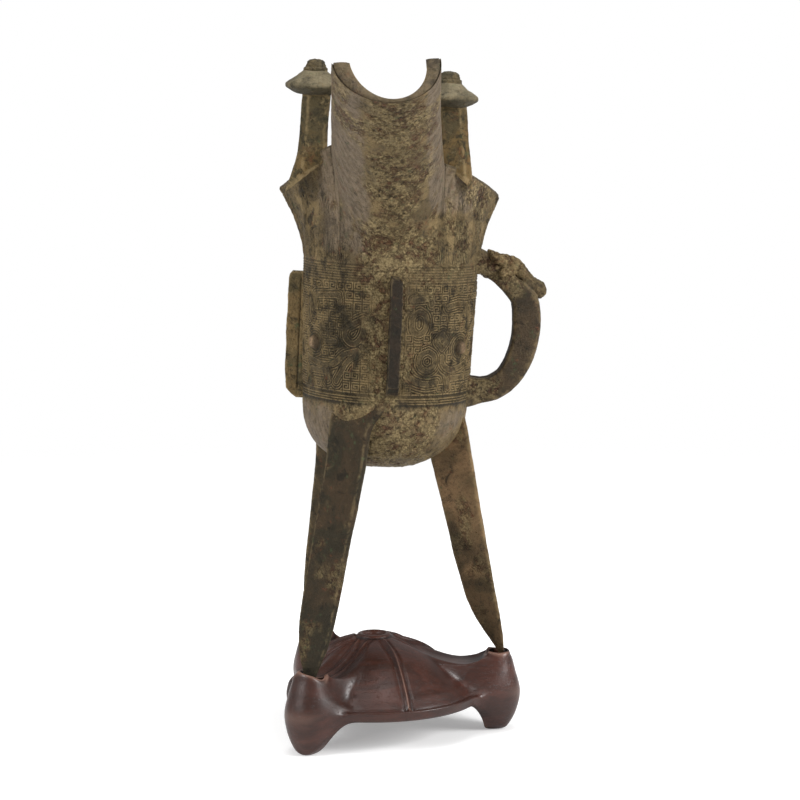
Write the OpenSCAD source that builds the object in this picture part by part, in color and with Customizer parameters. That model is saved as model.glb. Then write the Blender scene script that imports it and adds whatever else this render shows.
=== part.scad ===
// Archaic bronze jue wine vessel on its fitted hardwood stand.
// The spout points to -Y, the tail to +Y and the handle to +X.
// The vessel is drawn upright about its own axis, then set on the stand by seat().

/* [Cup] */
// Half width of the body across the handle
body_a = 28.2; // [26:0.2:31]
// Half width of the body along the spout
body_b = 31.5; // [28:0.5:34]
// Height of the lowest point of the rounded bottom
cup_bottom = 92.5; // [90:0.5:95]
// Height where the rounded bottom turns into the wall
bulge_top = 117; // [115:0.5:120]
// Height of the neck above the decorated band
neck_z = 159; // [157:0.5:162]
// Thickness of the cast wall
wall = 2.6; // [2:0.1:3.2]
// Half width of the mouth at its two side corners
corner_x = 37.2; // [36:0.2:39]
// Height of the rim at the side corners
corner_z = 185; // [183:0.5:187]

/* [Spout and tail] */
// Half width of the spout where it leaves the mouth
root_x = 18.8; // [17.5:0.1:19.5]
// Height of the rim where the spout leaves the mouth
root_z = 200.4; // [196:0.2:202]
// How much lower the rim lies right of the spout
root_drop = 4.6; // [0:0.2:6]
// Reach of the spout ahead of the axis
spout_y = 92; // [85:1:98]
// Half width of the spout at its end
spout_w = 16.4; // [15:0.1:17]
// Height of the two horns of the spout
horn_z = 228; // [224:0.5:231]
// Height of the floor of the spout at the lip
lip_z = 215.8; // [213:0.5:219]
// Reach of the tail behind the axis
tail_y = 75; // [68:1:82]
// Height of the tip of the tail
tail_z = 208; // [203:0.5:211]
// How far the mouth is pushed over to the left
kick = 4; // [0:0.2:5]
// Offset of the lowest point of the lip to the right
lip_x = 3; // [0:0.2:4]
// Roll of the spout's end, as a slope
roll = 0.09; // [0:0.01:0.12]

/* [Legs] */
// Radius of the outer face at the tip
leg_tip_r = 43.6; // [42:0.2:45]
// Radius of the outer face under the cup
leg_top_r = 27.2; // [26:0.2:29]
// Width of the outer face near the cup
leg_w = 15.4; // [13:0.2:16]
// Depth of the blade near the cup
leg_d = 12.6; // [11:0.2:14]
// Height of the blunt tips
tip_z = 24.5; // [24:0.1:26]

/* [Handle] */
// Thickness of the strap
strap_t = 8.2; // [7:0.2:9]
// Width of the strap
strap_w = 12; // [10:0.5:14]

/* [Posts and caps] */
// Radius of the umbrella caps
cap_r = 9.7; // [9:0.1:10.5]
// Height of the cone of a cap
cap_h = 5.6; // [5:0.2:6.5]
// Radius of the knob on a cap
knob_r = 3.6; // [3:0.1:4.2]

/* [Flanges and eyes] */
// Thickness of the upright flanges
flange_t = 4; // [3:0.1:4.6]
// How far the flanges stand out from the wall
flange_out = 5; // [4:0.2:6]
// Radius of a mask eye
eye_r = 2.6; // [2.2:0.1:3]

/* [Stand] */
// Height of the leaf at the ring in its middle
leaf_z = 32.6; // [30:0.2:34]
// Radius of the leaf between the feet
leaf_r = 37; // [35:0.5:39]
// Radius of the leaf over a foot
foot_r = 49.5; // [48:0.5:51]
// Height of the arched edge between the feet
arch_z = 11; // [8:0.5:12]
// Depth of the sockets for the leg tips
socket_depth = 3.3; // [3:0.1:3.5]

/* [Hidden] */
lean = 2.5;
axis_x = -4.6;
bronze = [0.42, 0.37, 0.25];
dark_bronze = [0.24, 0.23, 0.17];
rosewood = [0.30, 0.19, 0.16];
legs_az = [240, 120, 0];
legs_dr = [-0.8, -0.6, 2.5];
legs_tr = [2.6, 1.2, 1.8];
legs_dt = [4.5, 2, 0];
legs_bow = [-0.6, 0.4, 0];
legs_dd = [0, 0, 2.2];
legs_min = [31.1, 31.1, 0];
legs_side = [2.4, 1.1, 1.1];
foot_az = [237.9, 121.5, 0];
tip_r0 = leg_tip_r - 3;
mid_x = -8.32;
mid_y = (spout_y + 4 - tail_y) / 2;

// Everything is set so that the origin is under the middle of the whole piece.
module placed() {
    translate([mid_x, mid_y, 0]) children();
}
// The old casting stands a little out of true in its stand.
module seat() {
    placed() translate([axis_x, 0, 27]) rotate([0, lean, 0]) translate([0, 0, -27]) children();
}

// Sideways push of everything above the neck.
function push(z) = z < 166 ? 0 : -kick * pow(sin(90 * min(1, (z - 166) / 62)), 1.3);
function pushed(p) = [p[0] + push(p[2]), p[1], p[2]];

// Numbering of the meridians round the cup: 0 to 18 tail side, 23 to 35 spout side.
M = 40;
T1 = 18;
S0 = 23;
S1 = 35;
root_ang = acos(root_x / 30);
// The spout is a little narrower on its left.
function root_w(left) = root_x - (left ? 0.6 : 0);
function ang(i) = i <= T1 ? 10 * i
    : i <= S0 ? 180 + (i - T1) * root_ang / (S0 - T1)
    : i <= S1 ? 180 + root_ang + (i - S0) * (180 - 2 * root_ang) / (S1 - S0)
    : 360 - root_ang + (i - S1) * root_ang / (M - S1);
function mix(a, b, t) = a + (b - a) * t;

// Rows of the skin: bulging bottom, band, then the flaring wall up to the crest row.
NB = 7;
NW = 3;
NU = 5;
J = NB + NW + NU;
NS = 9;
NT = 8;

// The bottom is a little fuller on its left side.
function full(a) = 2.3 + 0.3 * max(0, -cos(a));
function bulge_r(k, a) = pow(sin(90 * k / NB), 2 / full(a));
function bulge_h(k, a) = pow(cos(90 * k / NB), 2 / full(a));

// Crest of meridian i: rim at the sides, root of the troughs in front and behind.
// in = 0 gives the outer skin and 1 the inner one.
function crest(i, in) =
    let (t = in * wall * 1.25, tf = in * wall * 1.1)
    i <= T1 ? let (a = ang(i))
        [(corner_x - t) * cos(a), 3 + (31 - tf) * sin(a), corner_z - (12 - tf) * sin(a)]
    : i < S0 || i > S1 ? let (u = i < S0 ? (i - T1) / (S0 - T1) : (M - i) / (M - S1))
        [(i < S0 ? -1 : 1) * (mix(root_w(i < S0), corner_x, pow(1 - u, 0.75)) - t * (1 - 0.2 * u)),
            3 - 31.5 * u + t * 0.45 * u,
            corner_z + (root_z - (i > S1 ? root_drop : 0) - corner_z) * pow(u, i > S1 ? 0.8 : 1.2)]
    : let (f = -90 + 180 * (i - S0) / (S1 - S0))
        [(root_w(f < 0) - t * 0.8) * sin(f), -28.5 + t * 0.45 * abs(sin(f)) - (6 - tf) * cos(f),
            172 + tf + (root_z - root_drop * (1 + sin(f)) / 2 - 172 - tf) * (1 - cos(f))];

// Direction in which a meridian arrives at the crest.
function arrive(i) = i <= T1 ? [0.5 * cos(ang(i)), mix(0.15, 0.75, sin(ang(i))), 0.8]
    : i < S0 || i > S1 ? let (u = i < S0 ? (i - T1) / (S0 - T1) : (M - i) / (M - S1))
        [(i < S0 ? -1 : 1) * mix(0.5, 0.1, u), mix(0.15, -0.3, u), 0.8]
    : let (f = -90 + 180 * (i - S0) / (S1 - S0)) [0.1 * sin(f), -0.3 - 0.4 * cos(f), 0.8];

// Point of body row j on meridian i.
function body(j, i, in) =
    let (a = ang(i), t = in * wall)
    j <= NB ? [(body_a - t) * bulge_r(j, a) * cos(a), (body_b - t) * bulge_r(j, a) * sin(a),
        bulge_top - (bulge_top - cup_bottom - in * 4) * bulge_h(j, a)]
    : j <= NB + NW ? let (u = (j - NB) / NW)
        [(body_a + 1.3 * u - t) * cos(a), (body_b + 0.7 * u - t) * sin(a), mix(bulge_top, neck_z, u)]
    : let (u = (j - NB - NW) / NU, n = body(NB + NW, i, in), e = crest(i, in),
        l = norm(e - n), h1 = 3 * u * u - 2 * u * u * u)
        n * (1 - h1) + e * h1 + [0, 0, l * (u - 2 * u * u + u * u * u)]
            + arrive(i) * l * (u * u * u - u * u);

// Spout: half oval sections from the root to the lip.
function spout(k, i, in) =
    let (u = k / NS, f = -90 + 180 * (i - S0) / (S1 - S0),
        t = in * mix(wall, 4.2, u * u), tb = in * mix(wall * 1.1, 1.2, u),
        w = mix(root_w(f < 0), spout_w - (f < 0 ? 0.2 : 0), pow(u, 0.8)) - t,
        ze = mix(root_z - root_drop * (1 + sin(f)) / 2, horn_z, pow(u, 1.15)),
        zf = mix(172, lip_z, 0.55 * u + 0.45 * (1 - pow(1 - u, 1.6))) + tb,
        ye = mix(-28.5, -spout_y, u), yf = mix(-34.5, -spout_y - 4, u))
    [w * sin(f) + lip_x * u * u * cos(f), mix(ye, yf, cos(f)), ze - (ze - zf) * cos(f) + roll * u * w * sin(f)];

// Tail: half oval sections that close to a point.
function tail(k, i, in) =
    let (u = k / NT, a = ang(i), t = in * mix(wall * 1.25, 0.8, u * u),
        w = mix(1.6, corner_x, pow(1 - u, 0.92)) - t,
        ze = mix(corner_z, tail_z, pow(u, 1.2)),
        zf = mix(corner_z - 12, tail_z - 3, 0.5 * u + 0.5 * (1 - pow(1 - u, 1.7)))
            + in * mix(wall * 1.1, 1, u),
        ye = mix(3, tail_y, u), yf = mix(34, tail_y, u) - in * wall * 1.1 * (1 - u))
    [w * cos(a), mix(ye, yf, sin(a)), ze - (ze - zf) * sin(a)];

// All points of one skin: pole, body rows, spout rows, tail rows.
function skin(in) = concat(
    [[0, 0, cup_bottom + in * 4]],
    [for (j = [1:J]) for (i = [0:M - 1]) pushed(body(j, i, in))],
    [for (k = [1:NS]) for (i = [S0:S1]) pushed(spout(k, i, in))],
    [for (k = [1:NT]) for (i = [0:T1]) pushed(tail(k, i, in))]);
NV = 1 + J * M + NS * (S1 - S0 + 1) + NT * (T1 + 1);
function b_id(j, i) = 1 + (j - 1) * M + i % M;
function s_id(k, i) = k == 0 ? b_id(J, i) : 1 + J * M + (k - 1) * (S1 - S0 + 1) + i - S0;
function t_id(k, i) = k == 0 ? b_id(J, i)
    : 1 + J * M + NS * (S1 - S0 + 1) + (k - 1) * (T1 + 1) + i;
function tri(a, b, c, in) = in == 0 ? [[a, b, c]] : [[a + NV, c + NV, b + NV]];
// The facets of the right half mirror those of the left half.
function right(i) = i >= 29 || i < 9;
function quad(a, b, c, d, in, i) = right(i) ? concat(tri(a, b, d, in), tri(b, c, d, in))
    : concat(tri(a, b, c, in), tri(a, c, d, in));
function flat(l) = [for (q = l) for (f = q) f];
function body_faces(in) = flat(concat(
    [for (i = [0:M - 1]) tri(0, b_id(1, i), b_id(1, i + 1), in)],
    [for (j = [1:J - 1]) for (i = [0:M - 1])
        quad(b_id(j, i), b_id(j + 1, i), b_id(j + 1, i + 1), b_id(j, i + 1), in, i)]));
function trough_faces(in) = flat(concat(
    [for (k = [0:NS - 1]) for (i = [S0:S1 - 1])
        quad(s_id(k, i), s_id(k + 1, i), s_id(k + 1, i + 1), s_id(k, i + 1), in, i)],
    [for (k = [0:NT - 1]) for (i = [0:T1 - 1])
        quad(t_id(k, i), t_id(k + 1, i), t_id(k + 1, i + 1), t_id(k, i + 1), in, i)]));
// The edge of the mouth, once round, in the order of rising meridians.
rim = concat(
    [for (k = [0:NT]) t_id(k, 0)], [for (i = [1:T1]) t_id(NT, i)],
    [for (k = [NT - 1:-1:0]) t_id(k, T1)], [for (i = [T1 + 1:S0]) b_id(J, i)],
    [for (k = [1:NS]) s_id(k, S0)], [for (i = [S0 + 1:S1]) s_id(NS, i)],
    [for (k = [NS - 1:-1:0]) s_id(k, S1)], [for (i = [S1 + 1:M - 1]) b_id(J, i)]);
rim_faces = flat([for (n = [0:len(rim) - 1]) let (a = rim[n], b = rim[(n + 1) % len(rim)])
    [[a, a + NV, b + NV], [a, b + NV, b]]]);

module cup_shell() {
    polyhedron(concat(skin(0), skin(1)),
        concat(body_faces(0), body_faces(1), trough_faces(0), trough_faces(1), rim_faces));
}

// The filled form of the body up to the neck, which trims what is cast against it.
module cup_core() {
    n = NB + NW + 3;
    top = 1 + n * M;
    polyhedron(concat([[0, 0, cup_bottom]],
        [for (j = [1:n]) for (i = [0:M - 1]) pushed(body(j, i, 0))], [[0, 0, neck_z + 12]]),
        flat(concat([for (i = [0:M - 1]) [[0, b_id(1, i), b_id(1, i + 1)]]],
            [for (j = [1:n - 1]) for (i = [0:M - 1])
                quad(b_id(j, i), b_id(j + 1, i), b_id(j + 1, i + 1), b_id(j, i + 1), 0, i)],
            [for (i = [0:M - 1]) [[b_id(n, i), top, b_id(n, i + 1)]]])));
}

module cup() {
    color(bronze) seat() cup_shell();
}

// Blade leg: a flat outer face and a blunt ridge inside, cut to a point below.
leg_z = [tip_z, 27.5, 31, 35, 40, 46, 54, 66, 82, 98, 108, 117.5];
leg_k = [0.2, 0.33, 0.5, 0.67, 0.81, 0.89, 0.92, 0.94, 0.97, 1, 1.02, 1.03];
module blade_section(z, k, n) {
    g = (z - 27) / 78;
    ro = max(legs_min[n], mix(leg_tip_r + legs_dr[n], leg_top_r + legs_tr[n], g)
        - 2 * pow(max(0, 1 - k), 1.5) - (n == 2 ? 0.2 : 0) * sin(180 * min(1, max(0, g))));
    b = legs_side[n] * k;
    e = b - 1.1 * k;
    d = (leg_d + legs_dd[n] * g) * (0.06 + 0.94 * pow(k, 1.9));
    w = leg_w * k;
    translate([ro, legs_dt[n] * g + legs_bow[n] * sin(180 * sqrt(min(1, max(0, g)))), z]) linear_extrude(0.01)
        polygon([[0, -w / 2], [0, w / 2 - 1.1 * e], [-b, w / 2 - 0.6 * e], [-d, 0.7], [-d, -0.7],
            [-1.1 * k, -w / 2]]);
}
// Each leg is a little longer or shorter, so that all three tips reach their sockets.
function leg_h(n, s) = leg_z[s] + (tip_r0 + legs_dr[n] + 1) * cos(legs_az[n]) * sin(lean)
    * max(0, 1 - (leg_z[s] - tip_z) / 40);
module leg(n) {
    seat() difference() {
        rotate([0, 0, legs_az[n]])
            for (s = [0:len(leg_z) - 2]) hull() {
                blade_section(leg_h(n, s), leg_k[s], n);
                blade_section(leg_h(n, s + 1), leg_k[s + 1], n);
            }
        cup_core();
    }
}
module leg_front() {
    color(dark_bronze) leg(0);
}
module leg_rear() {
    color(bronze) leg(1);
}
module leg_handle() {
    color(bronze) leg(2);
}

// Strap handle: a thick loop in the plane of the spout's cross section.
loop_pts = [[24, 164.4], [31, 163.4], [36.4, 160.4], [40.9, 156.4], [45.7, 151.6], [46.9, 144.7], [46.5, 137],
    [44.4, 129.8], [41, 124.3], [36.2, 120.9], [30, 119.6], [25, 119.4]];
loop_k = [1, 0.95, 0.85, 0.84, 1.14, 1.18, 1.12, 1.08, 1, 1, 1.05, 1.05];
module strap_slice(k) {
    a = k == 0 ? loop_pts[1] - loop_pts[0]
        : k == len(loop_pts) - 1 ? loop_pts[k] - loop_pts[k - 1] : loop_pts[k + 1] - loop_pts[k - 1];
    translate([loop_pts[k][0], 0, loop_pts[k][1]])
        rotate([0, atan2(a[0], a[1]), 0]) linear_extrude(0.02)
            hull() for (s = [-1, 1]) for (v = [-1, 1])
                translate([s * (strap_t * loop_k[k] / 2 - 2), v * (strap_w / 2 - 2)]) circle(2, $fn = 12);
}
module strap() {
    for (k = [0:len(loop_pts) - 2]) hull() {
        strap_slice(k);
        strap_slice(k + 1);
    }
}
module handle() {
    color(bronze) seat() difference() {
        strap();
        cup_core();
    }
}

// Ox head over the shoulder of the handle: brow, snout, ears and horns.
module ball(p, r) {
    translate(p) sphere(r, $fn = 16);
}
module head_form() {
    hull() {
        ball([35, 0, 162.6], 4.2);
        ball([40.6, 0, 161.2], 4.6);
    }
    hull() {
        ball([40.6, 0, 161.2], 4.6);
        ball([44.4, 0, 157.8], 3.7);
    }
    hull() {
        ball([44.4, 0, 157.8], 3.7);
        ball([49.5, 1.5, 154.5], 2.6);
        ball([49.5, -1.5, 154.5], 2.6);
    }
    for (s = [-1, 1]) {
        hull() {
            ball([39.4, s * 3.4, 163], 1.9);
            ball([36, s * 6.2, 165.2], 1.5);
        }
        hull() {
            ball([36, s * 6.2, 165.2], 1.5);
            ball([33.4, s * 4.4, 167], 0.9);
        }
        hull() {
            ball([40.4, s * 3.4, 161], 2.2);
            ball([37.6, s * 7.6, 160.6], 1);
        }
        ball([44, s * 3.6, 160.4], 1.4);
        hull() {
            ball([49, s * 1.5, 155.8], 1);
            ball([50.6, s * 1.4, 155], 0.7);
        }
    }
}
module handle_head() {
    color(dark_bronze) seat() difference() {
        head_form();
        strap();
        cup_core();
    }
}

// Posts on the rim beside the spout, chamfered outside, cut below to the slope of the rim.
post_foot = [[-27.6, -21, 192], [20.5, -21, 194]];
post_head = [[-26.8, -22, 217.3], [18.0, -22, 215.2]];
cap_at = [[-27.3, -22, 217.3], [16.6, -22, 215.2]];
module post_slice(s, t) {
    m = s == 0 ? 1 : -1;
    g = m * 0.85 * pow(1 - t, 6);
    w = mix(s == 0 ? 10.4 : 12.6, 9.3, min(1, t * 2));
    translate(mix(post_foot[s], post_head[s], t) - [s == 0 ? 0 : 1.2 * max(0, 1 - t * 2), 0, 0])
        multmatrix([[1, 0, 0, 0], [0, 1, 0, 0], [g, 0, 1, 0], [0, 0, 0, 1]])
            linear_extrude(0.01) polygon([[-m * w / 2, 3.4], [m * w / 2, 3.4], [m * w / 2, -2.6],
                [m * (w / 2 - 1), -3.6], [-m * (w / 2 - 2.2), -3.6], [-m * w / 2, -0.8]]);
}
module post(s) {
    seat() difference() {
        for (k = [0:7]) hull() {
            post_slice(s, k / 8);
            post_slice(s, (k + 1) / 8);
        }
        cup_shell();
    }
}
module post_left() {
    color(bronze) post(0);
}
module post_right() {
    color(bronze) post(1);
}

// Umbrella cap, turned, flat below where it sits on its post.
module cap(s) {
    seat() translate(cap_at[s] + [0, 0, 0.01]) rotate_extrude($fn = 48) polygon([[0, 0], [4.9, 0],
        [7.2, 0.9], [cap_r - 0.4, 1.7], [cap_r, 2.6], [cap_r - 0.3, 3.8], [cap_r - 1.8, 5.1],
        [knob_r + 1.7, 6.5], [knob_r + 0.2, 2.2 + cap_h], [0, 2.2 + cap_h]]);
}
module cap_left() {
    color(bronze) cap(0);
}
module cap_right() {
    color(bronze) cap(1);
}

// Knob of a cap, with two turned grooves.
module finial(s) {
    seat() translate(cap_at[s] + [0, 0, 2.21 + cap_h]) rotate_extrude($fn = 48) polygon([[0, 0], [knob_r, 0],
        [knob_r - 0.1, 0.5], [knob_r - 0.5, 0.8], [knob_r - 0.3, 1.3], [knob_r - 0.6, 1.7],
        [knob_r - 0.5, 2.2], [knob_r - 0.9, 3], [knob_r - 1.7, 3.6], [0, 3.8]]);
}
module finial_left() {
    color(bronze) finial(0);
}
module finial_right() {
    color(bronze) finial(1);
}

// Upright flange: a rounded bar along the band, trimmed by the wall behind it.
flange_h = [0, 1, 3, 9, 16, 22, 28, 34, 38, 40, 41];
flange_k = [0.35, 0.62, 0.93, 1, 1.02, 1.02, 1, 1, 0.99, 0.95, 0.78];
module flange(az, r, low, high, out) {
    seat() difference() {
        rotate([0, 0, az]) for (k = [0:len(flange_h) - 2]) hull()
            for (q = [k, k + 1]) translate([r - 3, -flange_t / 2, mix(low, high, flange_h[q] / 41)])
                cube([3 + out * flange_k[q], flange_t, 0.01]);
        cup_core();
    }
}
module flange_front() {
    color(dark_bronze) flange(274.1, body_b, 120.2, 159.6, flange_out - 1);
}
module flange_side() {
    color(bronze) flange(180, body_a, 114.8, 157.8, flange_out + 1.2);
}
module flange_rear() {
    color(bronze) flange(90, body_b, 116, 158.6, flange_out);
}

// Mask eye: a round boss on the band.
module eye(az) {
    x = body_a * cos(az);
    y = body_b * sin(az);
    n = atan2(y / body_b / body_b, x / body_a / body_a);
    seat() difference() {
        translate([x, y, 135.7]) rotate([0, 90, n]) for (k = [-1:7]) hull() {
            translate([0, 0, k < 0 ? -1.2 : 2.2 * sin(11.25 * k)])
                cylinder(0.01, r = k < 0 ? eye_r : eye_r * cos(11.25 * k), $fn = 20);
            translate([0, 0, 2.2 * sin(11.25 * (k + 1))])
                cylinder(0.01, r = max(0.1, eye_r * cos(11.25 * (k + 1))), $fn = 20);
        }
        cup_core();
    }
}
module eye_front_left() {
    color(bronze) eye(213);
}
module eye_front_right() {
    color(bronze) eye(-33);
}
module eye_rear_left() {
    color(bronze) eye(147);
}
module eye_rear_right() {
    color(bronze) eye(33);
}

// Stand: an upturned leaf whose three points fold down to feet under the legs.
// Meridians crowd at the veins, so that each vein is a narrow raised rib.
veins = [22, 58, 90, 120, 158, 200, 240, 293, 350];
NI = 7;
VQ = NI + 3;
SM = len(veins) * VQ;
function leaf_az(m, r) = let (v = floor(m / VQ), q = m % VQ, a = veins[v],
    b = v == len(veins) - 1 ? veins[0] + 360 : veins[v + 1], d = min(7, 66 / max(r, 1)))
    q == 0 ? a : q == VQ - 1 ? b - d : mix(a + d, b - d, (q - 1) / (NI + 1));
function near(a, n) = let (d = abs(a - foot_az[n]) % 360) min(d, 360 - d);
function foot_dr(a) = a < 60 || a > 300 ? 1.1 : a < 180 ? -0.6 : -1.3;
// Share of the foot's form at azimuth a: wide in the rows above, narrow in those below.
function foot_w(a, p) = let (d = min([for (n = [0:2]) near(a, n)]), t = max(0, min(1, (p - 9) / 3)),
    wide = d < 4 ? 1 : d > 24 ? 0 : pow(cos(90 * (d - 4) / 20), 2),
    slim = d < 4.4 ? 1 : d > 21 ? 0 : pow(1 - (d - 4.4) / 16.6, a > foot_az[1] && a < foot_az[0] ? 1.3 : 2.4))
    mix(wide, slim, t);
// Profiles from the middle over the edge and back below, as radius share and height.
foot_prof = [[0.13, leaf_z], [0.28, 28.4], [0.42, 25.3], [0.56, 23.9], [0.69, 23.9], [0.77, 25.9],
    [0.8, 27.5], [0.905, 27.6], [0.935, 25], [0.966, 20.5], [1, 13.4], [0.975, 6.5], [0.925, 1.6],
    [0.88, 0], [0.765, 0], [0.76, 4], [0.75, 9], [0.66, 13.5], [0.5, 16], [0.36, 17.5], [0.2, 18.5]];
edge_prof = [[0.17, leaf_z], [0.28, 31.5], [0.4, 30.1], [0.52, 28], [0.62, 25.4], [0.71, 22.6],
    [0.79, 20], [0.86, 17.4], [0.91, 15.4], [0.94, 14.6], [0.965, 14.8], [0.99, 14.2],
    [1, arch_z + 2.2], [0.99, arch_z + 0.7], [0.96, arch_z], [0.92, arch_z + 0.4],
    [0.86, arch_z + 2], [0.74, arch_z + 4.6], [0.56, 17.6], [0.4, 18.6], [0.2, 19]];
NP = len(foot_prof);
function leaf_r_at(a, p) = let (k = foot_w(a, p))
    mix(leaf_r - 7 * pow(max(0, -cos(a)), 4), foot_r + foot_dr(a), k) * mix(edge_prof[p][0], foot_prof[p][0], k);
function leaf_pt(m, p) = let (r0 = leaf_r_at(leaf_az(m, 30), p), a = leaf_az(m, r0), k = foot_w(a, p),
    r = leaf_r_at(a, p), rib = m % VQ == 0 && p > 0 && p < 11 ? 0.9 * (1 - 0.04 * p) : 0)
    [r * cos(a), r * sin(a), mix(edge_prof[p][1], foot_prof[p][1], k) + rib * (1 - k * 0.7)
        - (p > 0 && p < 7 ? 0.03 * (1 - k) * r * cos(a) : 0)];
module leaf() {
    polyhedron(concat([for (p = [0:NP - 1]) for (m = [0:SM - 1]) leaf_pt(m, p)],
        [[0, 0, leaf_z], [0, 0, 18.8]]),
        flat(concat(
            [for (m = [0:SM - 1]) [[NP * SM, (m + 1) % SM, m]]],
            [for (p = [0:NP - 2]) for (m = [0:SM - 1]) let (n = (m + 1) % SM)
                [[p * SM + m, (p + 1) * SM + n, (p + 1) * SM + m], [p * SM + m, p * SM + n, (p + 1) * SM + n]]],
            [for (m = [0:SM - 1]) [[NP * SM + 1, (NP - 1) * SM + m, (NP - 1) * SM + (m + 1) % SM]]])));
}
module stand() {
    color(rosewood) placed() translate([axis_x, 0, 0]) difference() {
        union() {
            leaf();
            translate([0, 0, leaf_z - 0.6]) rotate_extrude($fn = 48)
                polygon([[0, 0], [6.6, 0], [6.4, 1.2], [5.6, 1.8], [4.6, 1.6], [3.8, 0.9], [0, 0.7]]);
        }
        for (n = [0:2]) rotate([0, 0, legs_az[n]])
            translate([tip_r0 + legs_dr[n], 0, 27.5 - socket_depth]) cylinder(10, r = 3.8, $fn = 32);
    }
}

stand();
cup();
leg_front();
leg_rear();
leg_handle();
handle();
handle_head();
post_left();
post_right();
cap_left();
cap_right();
finial_left();
finial_right();
flange_front();
flange_side();
flange_rear();
eye_front_left();
eye_front_right();
eye_rear_left();
eye_rear_right();
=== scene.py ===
import math

import bmesh
import bpy
import numpy as np
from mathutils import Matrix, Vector


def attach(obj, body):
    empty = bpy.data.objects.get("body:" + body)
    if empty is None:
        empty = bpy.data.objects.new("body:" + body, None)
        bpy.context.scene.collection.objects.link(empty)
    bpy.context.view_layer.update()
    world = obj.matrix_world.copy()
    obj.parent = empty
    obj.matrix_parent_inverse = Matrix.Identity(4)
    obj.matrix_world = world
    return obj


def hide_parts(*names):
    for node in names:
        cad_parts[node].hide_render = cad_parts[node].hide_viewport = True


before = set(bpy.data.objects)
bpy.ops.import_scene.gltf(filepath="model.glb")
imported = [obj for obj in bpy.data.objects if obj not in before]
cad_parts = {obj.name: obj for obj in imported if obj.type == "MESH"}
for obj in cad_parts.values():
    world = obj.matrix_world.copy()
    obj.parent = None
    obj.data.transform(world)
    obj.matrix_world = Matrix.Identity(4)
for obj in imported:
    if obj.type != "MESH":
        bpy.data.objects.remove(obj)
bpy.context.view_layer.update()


# Stand
# The fitted stand, carved from one block of dark red hardwood, hand polished and waxed.
# It is an upturned leaf: three lobes fold down to feet, and a ring and raised veins
# run over it. The vessel's three tips drop into its shallow sockets.
AXIS_X, AXIS_Y, SEAT_Z = -12.92, 10.5, 27.0
TIP_REACH = 40.6
LEG_AZIMUTH = (240, 120, 0)
LEG_TIP_SHIFT = (-0.8, -0.6, 2.5)
FOOT_AZIMUTH = (237.9, 121.5, 0)
FOOT_LONGER = (1.1, -0.6, -1.3)
LEAF_R, FOOT_R, RING_R, LEAF_Z, ARCH_Z = 37.0, 49.5, 6.25, 32.6, 11.0
EDGE_PROFILE = np.array([
    [0.17, LEAF_Z], [0.28, 31.5], [0.4, 30.1], [0.52, 28], [0.62, 25.4], [0.71, 22.6],
    [0.79, 20], [0.86, 17.4], [0.91, 15.4], [0.94, 14.6], [0.965, 14.8], [0.99, 14.2],
    [1, ARCH_Z + 2.2], [0.99, ARCH_Z + 0.7], [0.96, ARCH_Z], [0.92, ARCH_Z + 0.4],
    [0.86, ARCH_Z + 2], [0.74, ARCH_Z + 4.6], [0.56, 17.6], [0.4, 18.6], [0.2, 19]])
FOOT_PROFILE = np.array([
    [0.13, LEAF_Z], [0.28, 28.4], [0.42, 25.3], [0.56, 23.9], [0.69, 23.9], [0.77, 25.9],
    [0.8, 27.5], [0.905, 27.6], [0.935, 25], [0.966, 20.5], [1, 13.4], [0.975, 6.5],
    [0.925, 1.6], [0.88, 0], [0.765, 0], [0.76, 4], [0.75, 9], [0.66, 13.5], [0.5, 16],
    [0.36, 17.5], [0.2, 18.5]])
RING_PROFILE = np.array([
    [0.2, 32.3], [1.2, 32.3], [2.4, 32.35], [3.3, 32.6], [3.8, 33.2], [4.3, 33.7], [4.9, 33.8],
    [5.5, 33.6], [5.9, 33.1]])
# Each vein: its azimuth, its shift and its bend to the side, its height and how far it runs.
VEINS = ((298, 0.0, -3.5, 1.1, 42), (238, -1.6, 0, 0.8, 35), (238, 1.6, 0, 0.8, 35),
         (203, 0.0, 2.0, 0.9, 42), (350, 0.0, 1.0, 0.6, 20), (160, 0.0, 1.5, 0.8, 42),
         (122, -1.6, 0, 0.8, 35), (122, 1.6, 0, 0.8, 35), (90, 0.0, -1.5, 0.8, 42),
         (58, 0.0, -2.0, 0.9, 42), (20, 0.0, 2.0, 0.8, 30))
VEIN_W, FURROW_AT, FURROW_W = 0.55, 1.5, 0.6
LEAF_SLOPE, LEAF_DRAWN_IN = 0.03, 7.0
COLLAR_R, COLLAR_HIGH = 4.8, 0.7
STAND_COLUMNS, ROWS_PER_POINT = 960, 9
SOCKET_R, SOCKET_DEPTH, SADDLE_Z = 3.8, 3.3, 27.5


def mix(a, b, t):
    """From a at t = 0 to b at t = 1."""
    return a + (b - a) * t


def smoothstep(low, high, x):
    """From 0 at low to 1 at high, eased at both ends; low may be the greater."""
    t = np.clip((x - low) / (high - low), 0, 1)
    return t * t * (3 - 2 * t)


def bell(x, middle, width):
    """1 in the middle, falling to a third at the width."""
    return np.exp(-((x - middle) / width) ** 2)


def profile_at(points, p):
    """A smooth curve through the profile's points; p counts points."""
    k = np.clip(np.floor(p).astype(int), 0, len(points) - 2)
    t = (p - k)[:, None]
    a, b = points[np.maximum(k - 1, 0)], points[k]
    c, d = points[k + 1], points[np.minimum(k + 2, len(points) - 1)]
    return 0.5 * (2 * b + (c - a) * t + (2 * a - 5 * b + 4 * c - d) * t * t
                  + (3 * b - a - 3 * c + d) * t ** 3)


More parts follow.
